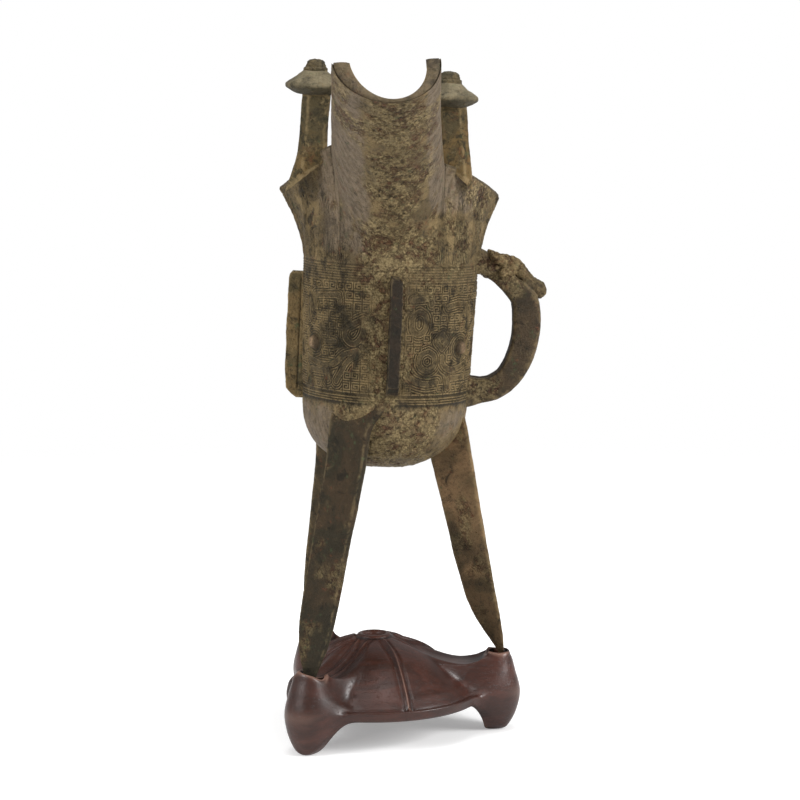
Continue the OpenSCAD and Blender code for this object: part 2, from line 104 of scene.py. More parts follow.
def foot_share(azimuth, p):
    """How much of a foot's form the leaf has there: wide above, necked at the socket, slim below."""
    near = np.min([np.abs((azimuth - f + 180) % 360 - 180) for f in FOOT_AZIMUTH], axis=0)
    neck = 20 - 8.5 * bell(p, 6.9, 1.7)
    wide = np.cos(np.radians(90 * np.clip((near - 4) / neck, 0, 1))) ** 2
    outside = (azimuth > FOOT_AZIMUTH[1]) & (azimuth < FOOT_AZIMUTH[0])
    slim = np.clip(1 - (near - 4.4) / 16.6, 0, 1) ** np.where(outside, 1.3, 2.4)
    slim = mix(slim, smoothstep(21, 4.4, near), 0.3)
    return mix(wide, slim, smoothstep(9, 12, p))


def evened(values, axis):
    """Each value drawn half way to its two neighbours, round a closed row."""
    return values * 0.5 + (np.roll(values, 1, axis) + np.roll(values, -1, axis)) * 0.25


def evened_between(rows):
    """The same from row to row, with the first and the last row held."""
    middle = rows[1:-1] * 0.5 + (rows[:-2] + rows[2:]) * 0.25
    return np.concatenate([rows[:1], middle, rows[-1:]])


def mesh_piece(name, points_mm, faces, sharp=40.0):
    """A named mesh from points in millimetres, smooth but for edges over the angle."""
    mesh = bpy.data.meshes.new(name)
    mesh.from_pydata((np.asarray(points_mm) * 0.001).tolist(), [], faces)
    mesh.validate()
    mesh.shade_smooth()
    mesh.set_sharp_from_angle(angle=math.radians(sharp))
    piece = bpy.data.objects.new(name, mesh)
    bpy.context.scene.collection.objects.link(piece)
    return piece


def grid_faces(rows, columns):
    """Quads of a grid of points, row by row, the last column joined to the first."""
    r = np.arange(rows - 1)[:, None] * columns
    c = np.arange(columns)[None, :]
    n = (c + 1) % columns
    return np.stack([r + c, r + n, r + columns + n, r + columns + c], -1).reshape(-1, 4).tolist()


def tube(name, rings, sharp=50.0):
    """A solid through rings of points, closed at both ends."""
    n, m = len(rings), len(rings[0])
    points = np.vstack(list(rings) + [np.mean(rings[0], 0)[None], np.mean(rings[-1], 0)[None]])
    faces = grid_faces(n, m)
    faces += [(n * m, (c + 1) % m, c) for c in range(m)]
    faces += [(n * m + 1, (n - 1) * m + c, (n - 1) * m + (c + 1) % m) for c in range(m)]
    return mesh_piece(name, points, faces, sharp)


def lathe_rings(profile, x, y, z, turns=96):
    """Rings of a turned form about an upright axis at x, y, z."""
    a = np.radians(np.arange(turns) * 360 / turns)
    r, h = profile[:, :1], profile[:, 1:]
    return np.stack([x + r * np.cos(a), y + r * np.sin(a), z + h + 0 * a], -1)


def carve(piece, cutters):
    """Cuts the closed cutters out of the piece, for good, and throws them away."""
    for cutter in cutters:
        cut = piece.modifiers.new("cut", "BOOLEAN")
        cut.operation, cut.solver, cut.object = "DIFFERENCE", "MANIFOLD", cutter
    bpy.context.view_layer.update()
    view = piece.evaluated_get(bpy.context.evaluated_depsgraph_get())
    old, new = piece.data, bpy.data.meshes.new_from_object(view)
    new.name = old.name + "_cut"
    piece.modifiers.clear()
    piece.data = new
    new.materials.clear()
    new.set_sharp_from_angle(angle=math.radians(40))
    bpy.data.meshes.remove(old)
    for cutter in cutters:
        bpy.data.objects.remove(cutter)


def mark_edges(piece, scale, reach=5):
    """Writes how far each point stands out of its surroundings, for worn edges and painted highlights
    on ridges, and for dirt and painted shade in creases.
    """
    mesh = piece.data
    count = len(mesh.vertices)
    place, way = np.empty(count * 3), np.empty(count * 3)
    ends = np.empty(len(mesh.edges) * 2, int)
    mesh.vertices.foreach_get("co", place)
    mesh.vertices.foreach_get("normal", way)
    mesh.edges.foreach_get("vertices", ends)
    a, b = ends[::2], ends[1::2]
    place = place.reshape(-1, 3) * 1000
    mates = np.maximum(np.bincount(a, minlength=count) + np.bincount(b, minlength=count), 1)
    soft = place.copy()
    for _ in range(reach):
        soft = np.stack([(np.bincount(a, soft[b, k], count) + np.bincount(b, soft[a, k], count))
                         / mates for k in range(3)], -1)
    stands_out = np.sum(way.reshape(-1, 3) * (place - soft), axis=1)
    layer = mesh.attributes.new("edge", "FLOAT", "POINT")
    layer.data.foreach_set("value", np.clip(0.5 + stands_out / scale, 0, 1).astype(np.float32))


leaf_p = np.arange((len(EDGE_PROFILE) - 1) * ROWS_PER_POINT + 1) / ROWS_PER_POINT
leaf_azimuth = np.arange(STAND_COLUMNS) * 360 / STAND_COLUMNS
edge, foot = profile_at(EDGE_PROFILE, leaf_p), profile_at(FOOT_PROFILE, leaf_p)
P, A = np.meshgrid(leaf_p, leaf_azimuth, indexing="ij")
share = foot_share(A, P)
# The feet run into the leaf without a crease: evened all over, and more below the sockets.
for _ in range(70):
    share = evened_between(evened(share, 1))
below_socket = leaf_p > 8
for _ in range(90):
    share[below_socket] = evened(share[below_socket], 1)
for _ in range(60):
    share = evened_between(share)
share *= 1.02
foot_extra = np.where((A < 60) | (A > 300), FOOT_LONGER[0], np.where(A < 180, *FOOT_LONGER[1:]))
toward_side = np.cos(np.radians(A))
leaf_rim = LEAF_R - LEAF_DRAWN_IN * np.maximum(0, -toward_side) ** 4
leaf_r = mix(leaf_rim, FOOT_R + foot_extra, share) * mix(edge[:, :1], foot[:, :1], share)
leaf_r += np.maximum(0, RING_R - leaf_r[:1]) * np.maximum(0, 1 - P)
leaf_h = mix(edge[:, 1:], foot[:, 1:], share)
upper = smoothstep(0, 1, P) * smoothstep(7, 6, P)
leaf_h -= LEAF_SLOPE * (1 - share) * leaf_r * toward_side * upper
on_top = smoothstep(0, 0.6, P) * smoothstep(11.2, 9.8, P)
for azimuth, aside, bend, high, run in VEINS:
    turn = np.radians(A - azimuth)
    off = leaf_r * np.sin(turn) - aside - bend * (leaf_r / 30) ** 2
    furrows = bell(off, FURROW_AT, FURROW_W) + bell(off, -FURROW_AT, FURROW_W)
    ridge = high * bell(off, 0, VEIN_W) - 0.35 * high * furrows
    ridge = ridge * (np.cos(turn) > 0) * smoothstep(run, run - 8, leaf_r)
    leaf_h += ridge * (1 - share * 0.3) * on_top
bead = (0.55 * bell(P, 11.4, 0.75) - 0.5 * bell(P, 9.4, 0.8)) * (1 - smoothstep(0.25, 0.75, share))
leaf_r += 0.5 * bead
leaf_h += bead
leaf_x, leaf_y = AXIS_X + leaf_r * toward_side, AXIS_Y + leaf_r * np.sin(np.radians(A))
socket_places = [(AXIS_X + (TIP_REACH + shift) * math.cos(math.radians(azimuth)),
                  AXIS_Y + (TIP_REACH + shift) * math.sin(math.radians(azimuth)))
                 for azimuth, shift in zip(LEG_AZIMUTH, LEG_TIP_SHIFT)]
for x, y in socket_places:
    from_socket = np.hypot(leaf_x - x, leaf_y - y)
    leaf_h += COLLAR_HIGH * bell(from_socket, COLLAR_R, 0.7) * (P < 9)
leaf_rows = np.stack([leaf_x, leaf_y, np.maximum(leaf_h, 0)], -1)
ring_p = np.linspace(0, len(RING_PROFILE) - 1.001, 40)
ring_rows = lathe_rings(profile_at(RING_PROFILE, ring_p), AXIS_X, AXIS_Y, 0, STAND_COLUMNS)
stand = tube("carved_stand", np.concatenate([ring_rows, leaf_rows])[::-1])
socket_shape = np.array([(0.05, -SOCKET_DEPTH), (SOCKET_R, -SOCKET_DEPTH), (SOCKET_R, 0),
                         (SOCKET_R + 0.5, 0.6), (SOCKET_R + 0.5, 9), (0.05, 9)])
carve(stand, [tube("socket_cutter", lathe_rings(socket_shape, x, y, SADDLE_Z, 40))
              for x, y in socket_places])
mark_edges(stand, 0.5, 8)


def rgb(r, g, b):
    """A colour as seen, 0 to 255, in the scene's linear values."""
    return tuple(((c / 255 + 0.055) / 1.055) ** 2.4 for c in (r, g, b)) + (1.0,)


def add(tree, kind, **settings):
    """A shader node with some of its settings given by name."""
    node = tree.nodes.new("ShaderNode" + kind)
    for key, value in settings.items():
        setattr(node, key, value)
    return node


def feed(tree, socket, value):
    """Puts a number or colour on a socket, or links another socket to it."""
    if isinstance(value, (int, float, tuple)):
        socket.default_value = value
    else:
        tree.links.new(value, socket)


def noise_at(tree, where, scale, detail=4.0, roughness=0.55, distortion=0.0):
    """Cloudy noise, finer with the scale."""
    node = add(tree, "TexNoise")
    for name, value in (("Vector", where), ("Scale", scale), ("Detail", detail),
                        ("Roughness", roughness), ("Distortion", distortion)):
        feed(tree, node.inputs[name], value)
    return node.outputs["Fac"]


def cracks_at(tree, where, scale):
    """Distance from the borders of irregular cells."""
    node = add(tree, "TexVoronoi", feature="DISTANCE_TO_EDGE")
    feed(tree, node.inputs["Vector"], where)
    feed(tree, node.inputs["Scale"], scale)
    return node.outputs["Distance"]


def band_of(tree, value, low, high):
    """The value spread from 0 at low to 1 at high, cut off outside."""
    node = add(tree, "MapRange", interpolation_type="SMOOTHSTEP")
    for name, number in (("Value", value), ("From Min", low), ("From Max", high)):
        feed(tree, node.inputs[name], number)
    return node.outputs["Result"]


def spread(tree, value, low, high):
    """The value taken from 0 to 1 over to low to high."""
    node = add(tree, "MapRange")
    for name, number in (("Value", value), ("To Min", low), ("To Max", high)):
        feed(tree, node.inputs[name], number)
    return node.outputs["Result"]


def reckon(tree, operation, a, b):
    """A sum, product or the like of two values."""
    node = add(tree, "Math", operation=operation)
    feed(tree, node.inputs[0], a)
    feed(tree, node.inputs[1], b)
    return node.outputs[0]


def times(tree, a, b):
    return reckon(tree, "MULTIPLY", a, b)


def paint(tree, under, over, amount, strength=None):
    """One colour laid over another by an amount, as it is or times a strength."""
    if strength is not None:
        amount = times(tree, amount, strength)
    node = add(tree, "Mix", data_type="RGBA")
    for socket, value in zip((node.inputs[6], node.inputs[7], node.inputs[0]), (under, over, amount)):
        feed(tree, socket, value)
    return node.outputs[2]


def point_value(tree, name):
    """A value written on the points of the mesh."""
    return add(tree, "Attribute", attribute_name=name).outputs["Fac"]


def new_material(name):
    """A material, its nodes, its surface node and the place on the object in metres."""
    material = bpy.data.materials.new(name)
    material.use_nodes = True
    tree = material.node_tree
    return material, tree, tree.nodes["Principled BSDF"], add(tree, "TexCoord").outputs["Object"]


def bump_on(tree, surface, height, strength, distance):
    """Fine relief that only the light sees."""
    node = add(tree, "Bump")
    for name, value in (("Height", height), ("Strength", strength), ("Distance", distance)):
        feed(tree, node.inputs[name], value)
    feed(tree, surface.inputs["Normal"], node.outputs[0])


rosewood, tree, surface, where = new_material("rosewood_polished")
stretch = add(tree, "Mapping")
stretch.inputs["Scale"].default_value = (0.35, 1.6, 1.9)
stretch.inputs["Rotation"].default_value = (0.1, 0.06, 0.25)
feed(tree, stretch.inputs["Vector"], where)
along = stretch.outputs["Vector"]
figure = band_of(tree, noise_at(tree, along, 110, 7, 0.62, 1.4), 0.32, 0.68)
pores = band_of(tree, noise_at(tree, along, 1400, 3, 0.6), 0.56, 0.7)
clouds = band_of(tree, noise_at(tree, where, 42, 4, 0.6), 0.36, 0.64)
edge_value = point_value(tree, "edge")
colour = paint(tree, rgb(50, 28, 21), rgb(72, 40, 31), figure)
colour = paint(tree, colour, rgb(38, 22, 17), clouds, 0.6)
colour = paint(tree, colour, rgb(28, 17, 15), pores, 0.5)
# Painted shade in the recesses, and a painted highlight along the ridges and veins, by how far each
# point stands out.
colour = paint(tree, colour, rgb(24, 15, 13), band_of(tree, edge_value, 0.47, 0.2), 0.85)
colour = paint(tree, colour, rgb(132, 100, 86), band_of(tree, edge_value, 0.6, 1.0), 0.65)
feed(tree, surface.inputs["Base Color"], colour)
feed(tree, surface.inputs["Roughness"], spread(tree, noise_at(tree, where, 160, 5), 0.26, 0.42))
surface.inputs["Specular IOR Level"].default_value = 0.4
bump_on(tree, surface, pores, 0.3, 0.0002)
stand.data.materials.append(rosewood)
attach(stand, "stand")
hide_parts("stand")


# Cup
# The body of the vessel, one thin wall of cast bronze: rounded bottom, upright sides
# and a flaring mouth drawn out into the spout in front and the pointed tail behind.
# Threads of the mask band and the blades above it stand up from the wall as cast.
LEAN = math.radians(2.5)
BODY_A, BODY_B, BOTTOM_Z, BULGE_Z, NECK_Z = 28.2, 31.5, 92.5, 117.0, 159.0
WALL, BOTTOM_T, WIDER_A, WIDER_B = 2.6, 4.0, 1.3, 0.7
CORNER_X, CORNER_Y, CORNER_Z = 37.2, 3.0, 185.0
ROOT_X, ROOT_Y, ROOT_Z, ROOT_DROP = 18.8, -28.5, 200.4, 4.6
TROUGH_OUT, TROUGH_Z = 6.0, 172.0
SPOUT_Y, SPOUT_W, HORN_Z, LIP_Z = 92.0, 16.4, 228.0, 215.8
HORN_T_LEFT, HORN_T_RIGHT, LIP_T = 5.4, 4.5, 1.2
TAIL_Y, TAIL_Z, TAIL_OUT, TAIL_DIP = 75.0, 208.0, 31.0, 12.0
KICK, KICK_Z, LIP_X, ROLL = 4.0, 166.0, 3.0, 0.09
ROOT_ANGLE = math.degrees(math.acos(ROOT_X / 30))
TAIL_END, SPOUT_START, SPOUT_MIDDLE, SPOUT_END, TURN = 18, 23, 29, 35, 40
FINE = 20


def sind(a):
    return np.sin(np.radians(a))


def cosd(a):
    return np.cos(np.radians(a))


def azimuth_of(i):
    """The way a column faces; columns run from the right side by the tail and the spout back to it."""
    return np.interp(i, [0, TAIL_END, SPOUT_START, SPOUT_END, TURN],
                     [0, 180, 180 + ROOT_ANGLE, 360 - ROOT_ANGLE, 360])


def root_width(left):
    """Half width where the spout begins, a little less on its left."""
    return ROOT_X - np.where(left, 0.6, 0)


def in_spout(i):
    """True for the columns that run up the spout."""
    return (i >= SPOUT_START) & (i <= SPOUT_END)


def side_share(i):
    """0 at the mouth's side corners, 1 where the spout begins."""
    return np.clip(np.where(i < SPOUT_MIDDLE, (i - TAIL_END) / 5, (TURN - i) / 5), 0, 1)


def spout_turn(i):
    """-90 at the spout's left edge, 0 on its floor, 90 at its right edge."""
    return np.clip(-90 + 15 * (i - SPOUT_START), -90, 90)


def crest(i, inner):
    """The mouth's edge at the sides, and the roots of the spout and of the tail."""
    t, tf, a = inner * WALL * 1.25, inner * WALL * 1.1, azimuth_of(i)
    tail = np.stack([(CORNER_X - t) * cosd(a), CORNER_Y + (TAIL_OUT - tf) * sind(a),
                     CORNER_Z - (TAIL_DIP - tf) * sind(a)], -1)
    u, right = side_share(i), i > SPOUT_MIDDLE
    half = mix(root_width(~right), CORNER_X, (1 - u) ** 0.75) - t * (1 - 0.2 * u)
    side = np.stack([
        np.where(right, 1, -1) * half,
        CORNER_Y - (CORNER_Y - ROOT_Y) * u + t * 0.45 * u,
        CORNER_Z + (ROOT_Z - right * ROOT_DROP - CORNER_Z) * u ** np.where(right, 0.8, 1.2)], -1)
    f = spout_turn(i)
    top = ROOT_Z - ROOT_DROP * (1 + sind(f)) / 2
    root = np.stack([(root_width(f < 0) - t * 0.8) * sind(f),
                     ROOT_Y + t * 0.45 * np.abs(sind(f)) - (TROUGH_OUT - tf) * cosd(f),
                     TROUGH_Z + tf + (top - TROUGH_Z - tf) * (1 - cosd(f))], -1)
    return np.where((i <= TAIL_END)[:, None], tail, np.where(in_spout(i)[:, None], root, side))


def arrival(i):
    """The way the wall runs as it comes up to the crest."""
    a, u, f = azimuth_of(i), side_share(i), spout_turn(i)
    sign = np.where(i < SPOUT_MIDDLE, -1, 1)
    tail = np.stack([0.5 * cosd(a), mix(0.15, 0.75, sind(a)), 0 * i + 0.8], -1)
    side = np.stack([sign * mix(0.5, 0.1, u), mix(0.15, -0.3, u), 0 * i + 0.8], -1)
    root = np.stack([0.1 * sind(f), -0.3 - 0.4 * cosd(f), 0 * i + 0.8], -1)
    return np.where((i <= TAIL_END)[:, None], tail, np.where(in_spout(i)[:, None], root, side))


def wall_row(j, i, inner):
    """One level line of the body: j 0 to 7 the bottom, to 10 the band, to 15 the flare."""
    a, t = azimuth_of(i), inner * WALL
    if j <= 7:
        fullness = 2 / (2.3 + 0.3 * np.maximum(0, -cosd(a)))
        kr, kh = sind(90 * j / 7) ** fullness, max(0.0, cosd(90 * j / 7)) ** fullness
        z = BULGE_Z - (BULGE_Z - BOTTOM_Z - inner * BOTTOM_T) * kh
        return np.stack([(BODY_A - t) * kr * cosd(a), (BODY_B - t) * kr * sind(a), z], -1)
    if j <= 10:
        u = (j - 7) / 3
        return np.stack([(BODY_A + WIDER_A * u - t) * cosd(a), (BODY_B + WIDER_B * u - t) * sind(a),
                         0 * a + mix(BULGE_Z, NECK_Z, u)], -1)
    u, n, e = (j - 10) / 5, wall_row(10, i, inner), crest(i, inner)
    long = np.linalg.norm(e - n, axis=1)[:, None]
    blend = 3 * u * u - 2 * u ** 3
    return (n * (1 - blend) + e * blend + np.array([0, 0, 1]) * long * (u - 2 * u * u + u ** 3)
            + arrival(i) * long * (u ** 3 - u * u))


def spout_row(u, i, inner):
    """One line across the spout's trough: u 0 at its root, 1 at its lip."""
    f = spout_turn(i)
    t = inner * mix(WALL, np.where(f < 0, HORN_T_LEFT, HORN_T_RIGHT), u * u)
    tb = inner * mix(WALL * 1.1, LIP_T, u)
    w = mix(root_width(f < 0), SPOUT_W - np.where(f < 0, 0.2, 0), u ** 0.8) - t
    edge_z = mix(ROOT_Z - ROOT_DROP * (1 + sind(f)) / 2, HORN_Z, u ** 1.15)
    floor_z = mix(TROUGH_Z, LIP_Z, 0.55 * u + 0.45 * (1 - (1 - u) ** 1.6)) + tb
    edge_y, floor_y = mix(ROOT_Y, -SPOUT_Y, u), mix(ROOT_Y - TROUGH_OUT, -SPOUT_Y - 4, u)
    return np.stack([w * sind(f) + LIP_X * u * u * cosd(f),
                     mix(edge_y, floor_y, cosd(f)),
                     edge_z - (edge_z - floor_z) * cosd(f) + ROLL * u * w * sind(f)], -1)


def tail_row(u, i, inner):
    """One line across the tail's channel: u 0 at its root, 1 at its point."""
    a, t = azimuth_of(i), inner * mix(WALL * 1.25, 0.8, u * u)
    w = mix(1.6, CORNER_X, (1 - u) ** 0.92) - t
    edge_z = mix(CORNER_Z, TAIL_Z, u ** 1.2)
    floor_z = (mix(CORNER_Z - TAIL_DIP, TAIL_Z - 3, 0.5 * u + 0.5 * (1 - (1 - u) ** 1.7))
               + inner * mix(WALL * 1.1, 1, u))
    edge_y = mix(CORNER_Y, TAIL_Y, u)
    floor_y = mix(CORNER_Y + TAIL_OUT, TAIL_Y, u) - inner * WALL * 1.1 * (1 - u)
    return np.stack([w * cosd(a), mix(edge_y, floor_y, sind(a)),
                     edge_z - (edge_z - floor_z) * sind(a)], -1)


def pushed(p):
    """The mouth leans over to the left above the neck."""
    up = np.clip((p[..., 2] - KICK_Z) / (HORN_Z - KICK_Z), 0, 1)
    out = p.copy()
    out[..., 0] -= KICK * sind(90 * up) ** 1.3
    return out


def seated(p):
    """From the vessel's own upright place to its place in the stand, leaning a little."""
    x, y, z = p[..., 0], p[..., 1], p[..., 2] - SEAT_Z
    return np.stack([AXIS_X + x * math.cos(LEAN) + z * math.sin(LEAN), AXIS_Y + y,
                     SEAT_Z + z * math.cos(LEAN) - x * math.sin(LEAN)], -1)


class Grain:
    """Soft random lumps in space, the same on every run."""

    def __init__(self, seed):
        self.lattice = np.random.default_rng(seed).random((32, 32, 32))

    def at(self, p, size):
        q = p / size + 500
        k = np.floor(q).astype(int)
        t = q - k
        t = t * t * (3 - 2 * t)
        value = 0
        for corner in range(8):
            d = np.array([corner & 1, corner >> 1 & 1, corner >> 2])
            c = (k + d) % 32
            weight = np.prod(np.where(d, t, 1 - t), axis=-1)
            value = value + weight * self.lattice[c[..., 0], c[..., 1], c[..., 2]]
        return value - 0.5


lumps, crumbs, wear = Grain(3), Grain(8), Grain(21)


def crusty(p):
    """Height of a lumpy crust, about half a millimetre from pit to crumb."""
    return 0.5 * crumbs.at(p, 2.4) + 0.55 * lumps.at(p, 1.15) + 0.35 * wear.at(p, 0.6)


def nearest(s, y, lines):
    """Distance from points s, y to the nearest of some broken lines."""
    best = np.full(s.shape, 99.0)
    for line in lines:
        for (ax, ay), (bx, by) in zip(line[:-1], line[1:]):
            dx, dy = bx - ax, by - ay
            t = np.clip(((s - ax) * dx + (y - ay) * dy) / (dx * dx + dy * dy + 1e-9), 0, 1)
            best = np.minimum(best, np.hypot(s - ax - t * dx, y - ay - t * dy))
    return best


def curve(points, steps=5):
    """A smooth line through a few points."""
    at = np.linspace(0, len(points) - 1.0001, (len(points) - 1) * steps + 1)
    return [tuple(v) for v in profile_at(np.array(points, float), at)]


# Half a mask: millimetres from the nose along the wall, and above the band's foot.
MASK_LEFT = [
    [(29.4, 26.6), (29.4, 30.4), (18.2, 31.4), (17.6, 28.8)],
    [(34.2, 31), (34.2, 22.6)],
    curve([(8.3, 24.2), (8.2, 20.6), (9.6, 17.2), (12.3, 15.6), (15.0, 17.4), (14.8, 20.4), (11.8, 22.4),
           (8.3, 24.2)]),
    curve([(25.6, 15.2), (22, 15.4), (19.2, 15.8)]),
    curve([(35.0, 9.6), (30, 8.4), (25, 7.8), (19.4, 8.6), (15.4, 11.8), (10.4, 13.4)]),
    curve([(9.7, 12.6), (13.8, 9.8), (16.0, 6.6), (18.4, 2.8)]),
    [(32.6, 1.2), (32.6, 5.4), (22.4, 5.6), (22.4, 3.2)],
    curve([(39, 12), (43, 15), (44, 22), (41.4, 27)])]
MASK_RIGHT = [
    curve([(10.8, 27.2), (8.4, 25.4), (8.4, 21.4), (10.8, 19.6), (13.2, 21.4), (13.2, 25.4),
           (10.8, 27.2)]),
    [(20.4, 19.6), (22.6, 17.2), (20.4, 14.8), (18.2, 17.2), (20.4, 19.6)],
    curve([(14.8, 14), (12, 12.6), (11.8, 9.2), (14.6, 7.6), (17.4, 9.2), (17.2, 12.4), (14.8, 14)]),
    [(8.6, 31), (14.6, 31.6), (15.2, 29.4)],
    [(22.4, 28.8), (27, 29.6), (32.4, 29.2), (33.4, 21.4)],
    curve([(35.0, 9.6), (30, 8.2), (25, 7.6), (21.4, 9.4), (20.6, 12)]),
    curve([(6.4, 8), (9.4, 4.6), (14, 3.2), (19, 3.6)]),
    [(24.6, 1.6), (24.6, 4.6), (33.2, 4.8)],
    curve([(39, 12), (43, 15), (44, 22), (41.4, 27)])]
EYE_AT, EYE_WIDER, LID_R = (29.6, 14.7), 1.15, 4.45
BAND_FOOT, BAND_HIGH, BAND_R, RIBBON, PITCH = 121.0, 35.6, 30.2, 0.85, 0.82
BAND_RELIEF, BLADE_RELIEF = 0.34, 0.2
BORDERS = (-4.4, -3.55, -2.7, -1.85, 36.9, 37.75, 38.6, 39.45, 40.3, 41.15)
TILE, TILES_FROM = 3.3, 2.5
UNIT_SPIRAL = [(1.25, -1.25), (-1.25, -1.25), (-1.25, 1.25), (1.25, 1.25), (1.25, -0.45), (-0.45, -0.45),
               (-0.45, 0.45), (0.45, 0.45)]


def from_eye(s, y):
    """Distance from the middle of the mask's eye, which is a little wider than it is high."""
    return np.hypot((s - EYE_AT[0]) / EYE_WIDER, y - EYE_AT[1])


def mask_relief(s, y, ribbons):
    """Height of the cast pattern over the wall, 0 to 1: ribbons, eye, spirals and borders."""
    far, eye = nearest(s, y, ribbons), from_eye(s, y)
    column, row = np.floor((s - TILES_FROM) / TILE), np.floor(y / TILE)
    centre_s, centre_y = TILES_FROM + (column + 0.5) * TILE, (row + 0.5) * TILE
    free = nearest(centre_s, centre_y, ribbons) > RIBBON + 1.55
    free &= from_eye(centre_s, centre_y) > 5.6
    flip = np.where((column + row) % 2 > 0, 1, -1)
    spiral = nearest((s - centre_s) * flip, (y - centre_y) * np.where(row % 2 > 0, 1, -1), [UNIT_SPIRAL])
    phase = (np.minimum(far, eye - 3.2) - RIBBON) % PITCH
    follow = bell(np.minimum(phase, PITCH - phase), 0, 0.2) * (far > RIBBON + 0.4)
    thread = np.where(free, bell(spiral, 0, 0.25), follow)
    lid = np.maximum(bell(eye, 3.3, 0.26), 0.9 * bell(eye, 4.1, 0.24))
    thread = np.where(eye < LID_R, lid, np.maximum(thread, bell(far, RIBBON, 0.24)))
    thread = np.where((far < RIBBON - 0.1) & (eye > LID_R), 0.3, thread)
    thread = thread * smoothstep(-0.9, -0.3, y) * smoothstep(BAND_HIGH + 0.9, BAND_HIGH + 0.3, y)
    for line in BORDERS:
        thread = np.maximum(thread, bell(y, line, 0.22))
    return thread


def blade_relief(azimuth, y):
    """Tall pointed leaves above the band: the lines that follow their edges, and the leaves."""
    across = ((azimuth - 12) % 20 - 10) / 10
    width = np.clip(1 - (y - 42) / 27, 0, 1) ** 0.7 * 0.96
    line = np.abs(across) / np.maximum(width, 0.02) * 5.6
    inside = smoothstep(5.6, 5.3, line) * smoothstep(42.2, 43.4, y) * smoothstep(0.05, 0.25, width)
    return bell(np.mod(line, 1), 0.5, 0.24), inside


columns = np.arange(TURN * FINE) / FINE
spout_columns = np.arange(SPOUT_START * FINE, SPOUT_END * FINE + 1)
tail_columns = np.arange(0, TAIL_END * FINE + 1)
SPOUT_ROWS, TAIL_ROWS = 130, 60


def skin(levels, inner):
    """Body, spout and tail rows of one side of the wall, run smoothly into one another."""
    rows = np.array([wall_row(j, columns, inner) for j in levels])
    spout = np.array([spout_row(k / SPOUT_ROWS, columns[spout_columns], inner)
                      for k in range(1, SPOUT_ROWS + 1)])
    tail = np.array([tail_row(k / TAIL_ROWS, columns[tail_columns], inner)
                     for k in range(1, TAIL_ROWS + 1)])
    for part, cols in ((spout, spout_columns), (tail, tail_columns)):
        run = np.vstack([rows[:, cols], part])
        ease = smoothstep(16, 4, np.abs(np.arange(len(run)) - len(levels) + 1))[1:-1, None, None]
        ease = ease * (1 - np.abs(np.linspace(-1, 1, len(cols))) ** 8)[None, :, None]
        for _ in range(90):
            run[1:-1] += ease * 0.5 * ((run[:-2] + run[2:]) / 2 - run[1:-1])
        rows[:, cols], part[:] = run[:len(levels)], run[len(levels):]
    return pushed(rows), pushed(spout), pushed(tail)


def outward(grid, closed):
    """Unit normals of a grid of points, out of the wall."""
    if closed:
        along_row = np.roll(grid, -1, 1) - np.roll(grid, 1, 1)
    else:
        along_row = np.gradient(grid, axis=1)
    n = np.cross(along_row, np.gradient(grid, axis=0))
    return n / np.maximum(np.linalg.norm(n, axis=-1, keepdims=True), 1e-9)


def pushed_back(p):
    """x, y and z with the mouth's lean to the left taken out again."""
    return p[..., 0] + KICK * smoothstep(KICK_Z, HORN_Z, p[..., 2]), p[..., 1], p[..., 2]


def crust_zone(p):
    """Where old crust sits: on the spout's middle and left horn, on the right flank, beside the
    front flange and under the belly."""
    x, y, z = pushed_back(p)
    front = smoothstep(4, -12, y)
    spout = bell(x, 2.0, 9.5) * smoothstep(158, 166, z)
    foot_of_spout = bell(x, 2.5, 15) * bell(z, 166, 11)
    nose = bell(x, 1.5, 6.5) * smoothstep(162, 158, z) * smoothstep(112, 117, z)
    belly = bell(x, 3.0, 14) * smoothstep(119, 114, z)
    horn = 0.8 * bell(x, -13, 5) * bell(z, 216, 10)
    flank = 0.95 * bell(x, 31, 12) * bell(z, 178, 20)
    zone = front * np.maximum.reduce([spout, foot_of_spout, nose, belly, horn, flank])
    return smoothstep(0.34, 0.66, zone * 0.75 + 0.12 + 0.9 * wear.at(p, 6.5) + 0.35 * crumbs.at(p, 2.2))


def bare_zone(p):
    """Where the smooth grey skin shows: the spout's left and right, and low on the belly."""
    x, y, z = pushed_back(p)
    front = smoothstep(4, -12, y)
    left = smoothstep(-4, -10, x) * smoothstep(-27, -19, x) * smoothstep(160, 172, z)
    right = smoothstep(11, 14, x) * smoothstep(176, 186, z)
    aside = np.maximum(0.7 * smoothstep(-13, -21, x), 0.6 * smoothstep(12, 22, x))
    low = aside * smoothstep(118, 113, z)
    zone = front * np.maximum.reduce([left, right, low])
    return smoothstep(0.25, 0.75, zone * 0.9 + 0.5 * wear.at(p, 8) + 0.2 * crumbs.at(p, 2.5))


def surface_height(p, crust, bare):
    """The old surface over the cast one: soft waves, and crumbs that bare skin has lost."""
    return 0.2 * lumps.at(p, 11.0) + mix(0.25, 0.75, crust) * mix(1, 0.4, bare) * crusty(p)


outer_levels = np.concatenate([np.linspace(0.25, 7, 48), np.linspace(7, 10, 191)[1:],
                               np.linspace(10, 10.9, 28)[1:], np.linspace(10.9, 15, 66)[1:]])
inner_levels = np.concatenate([np.linspace(0.6, 7, 9), np.linspace(7, 10, 4)[1:],
                               np.linspace(10, 15, 15)[1:]])
wall, spout_skin, tail_skin = skin(outer_levels, 0)
inner_wall, inner_spout, inner_tail = skin(inner_levels, 1)

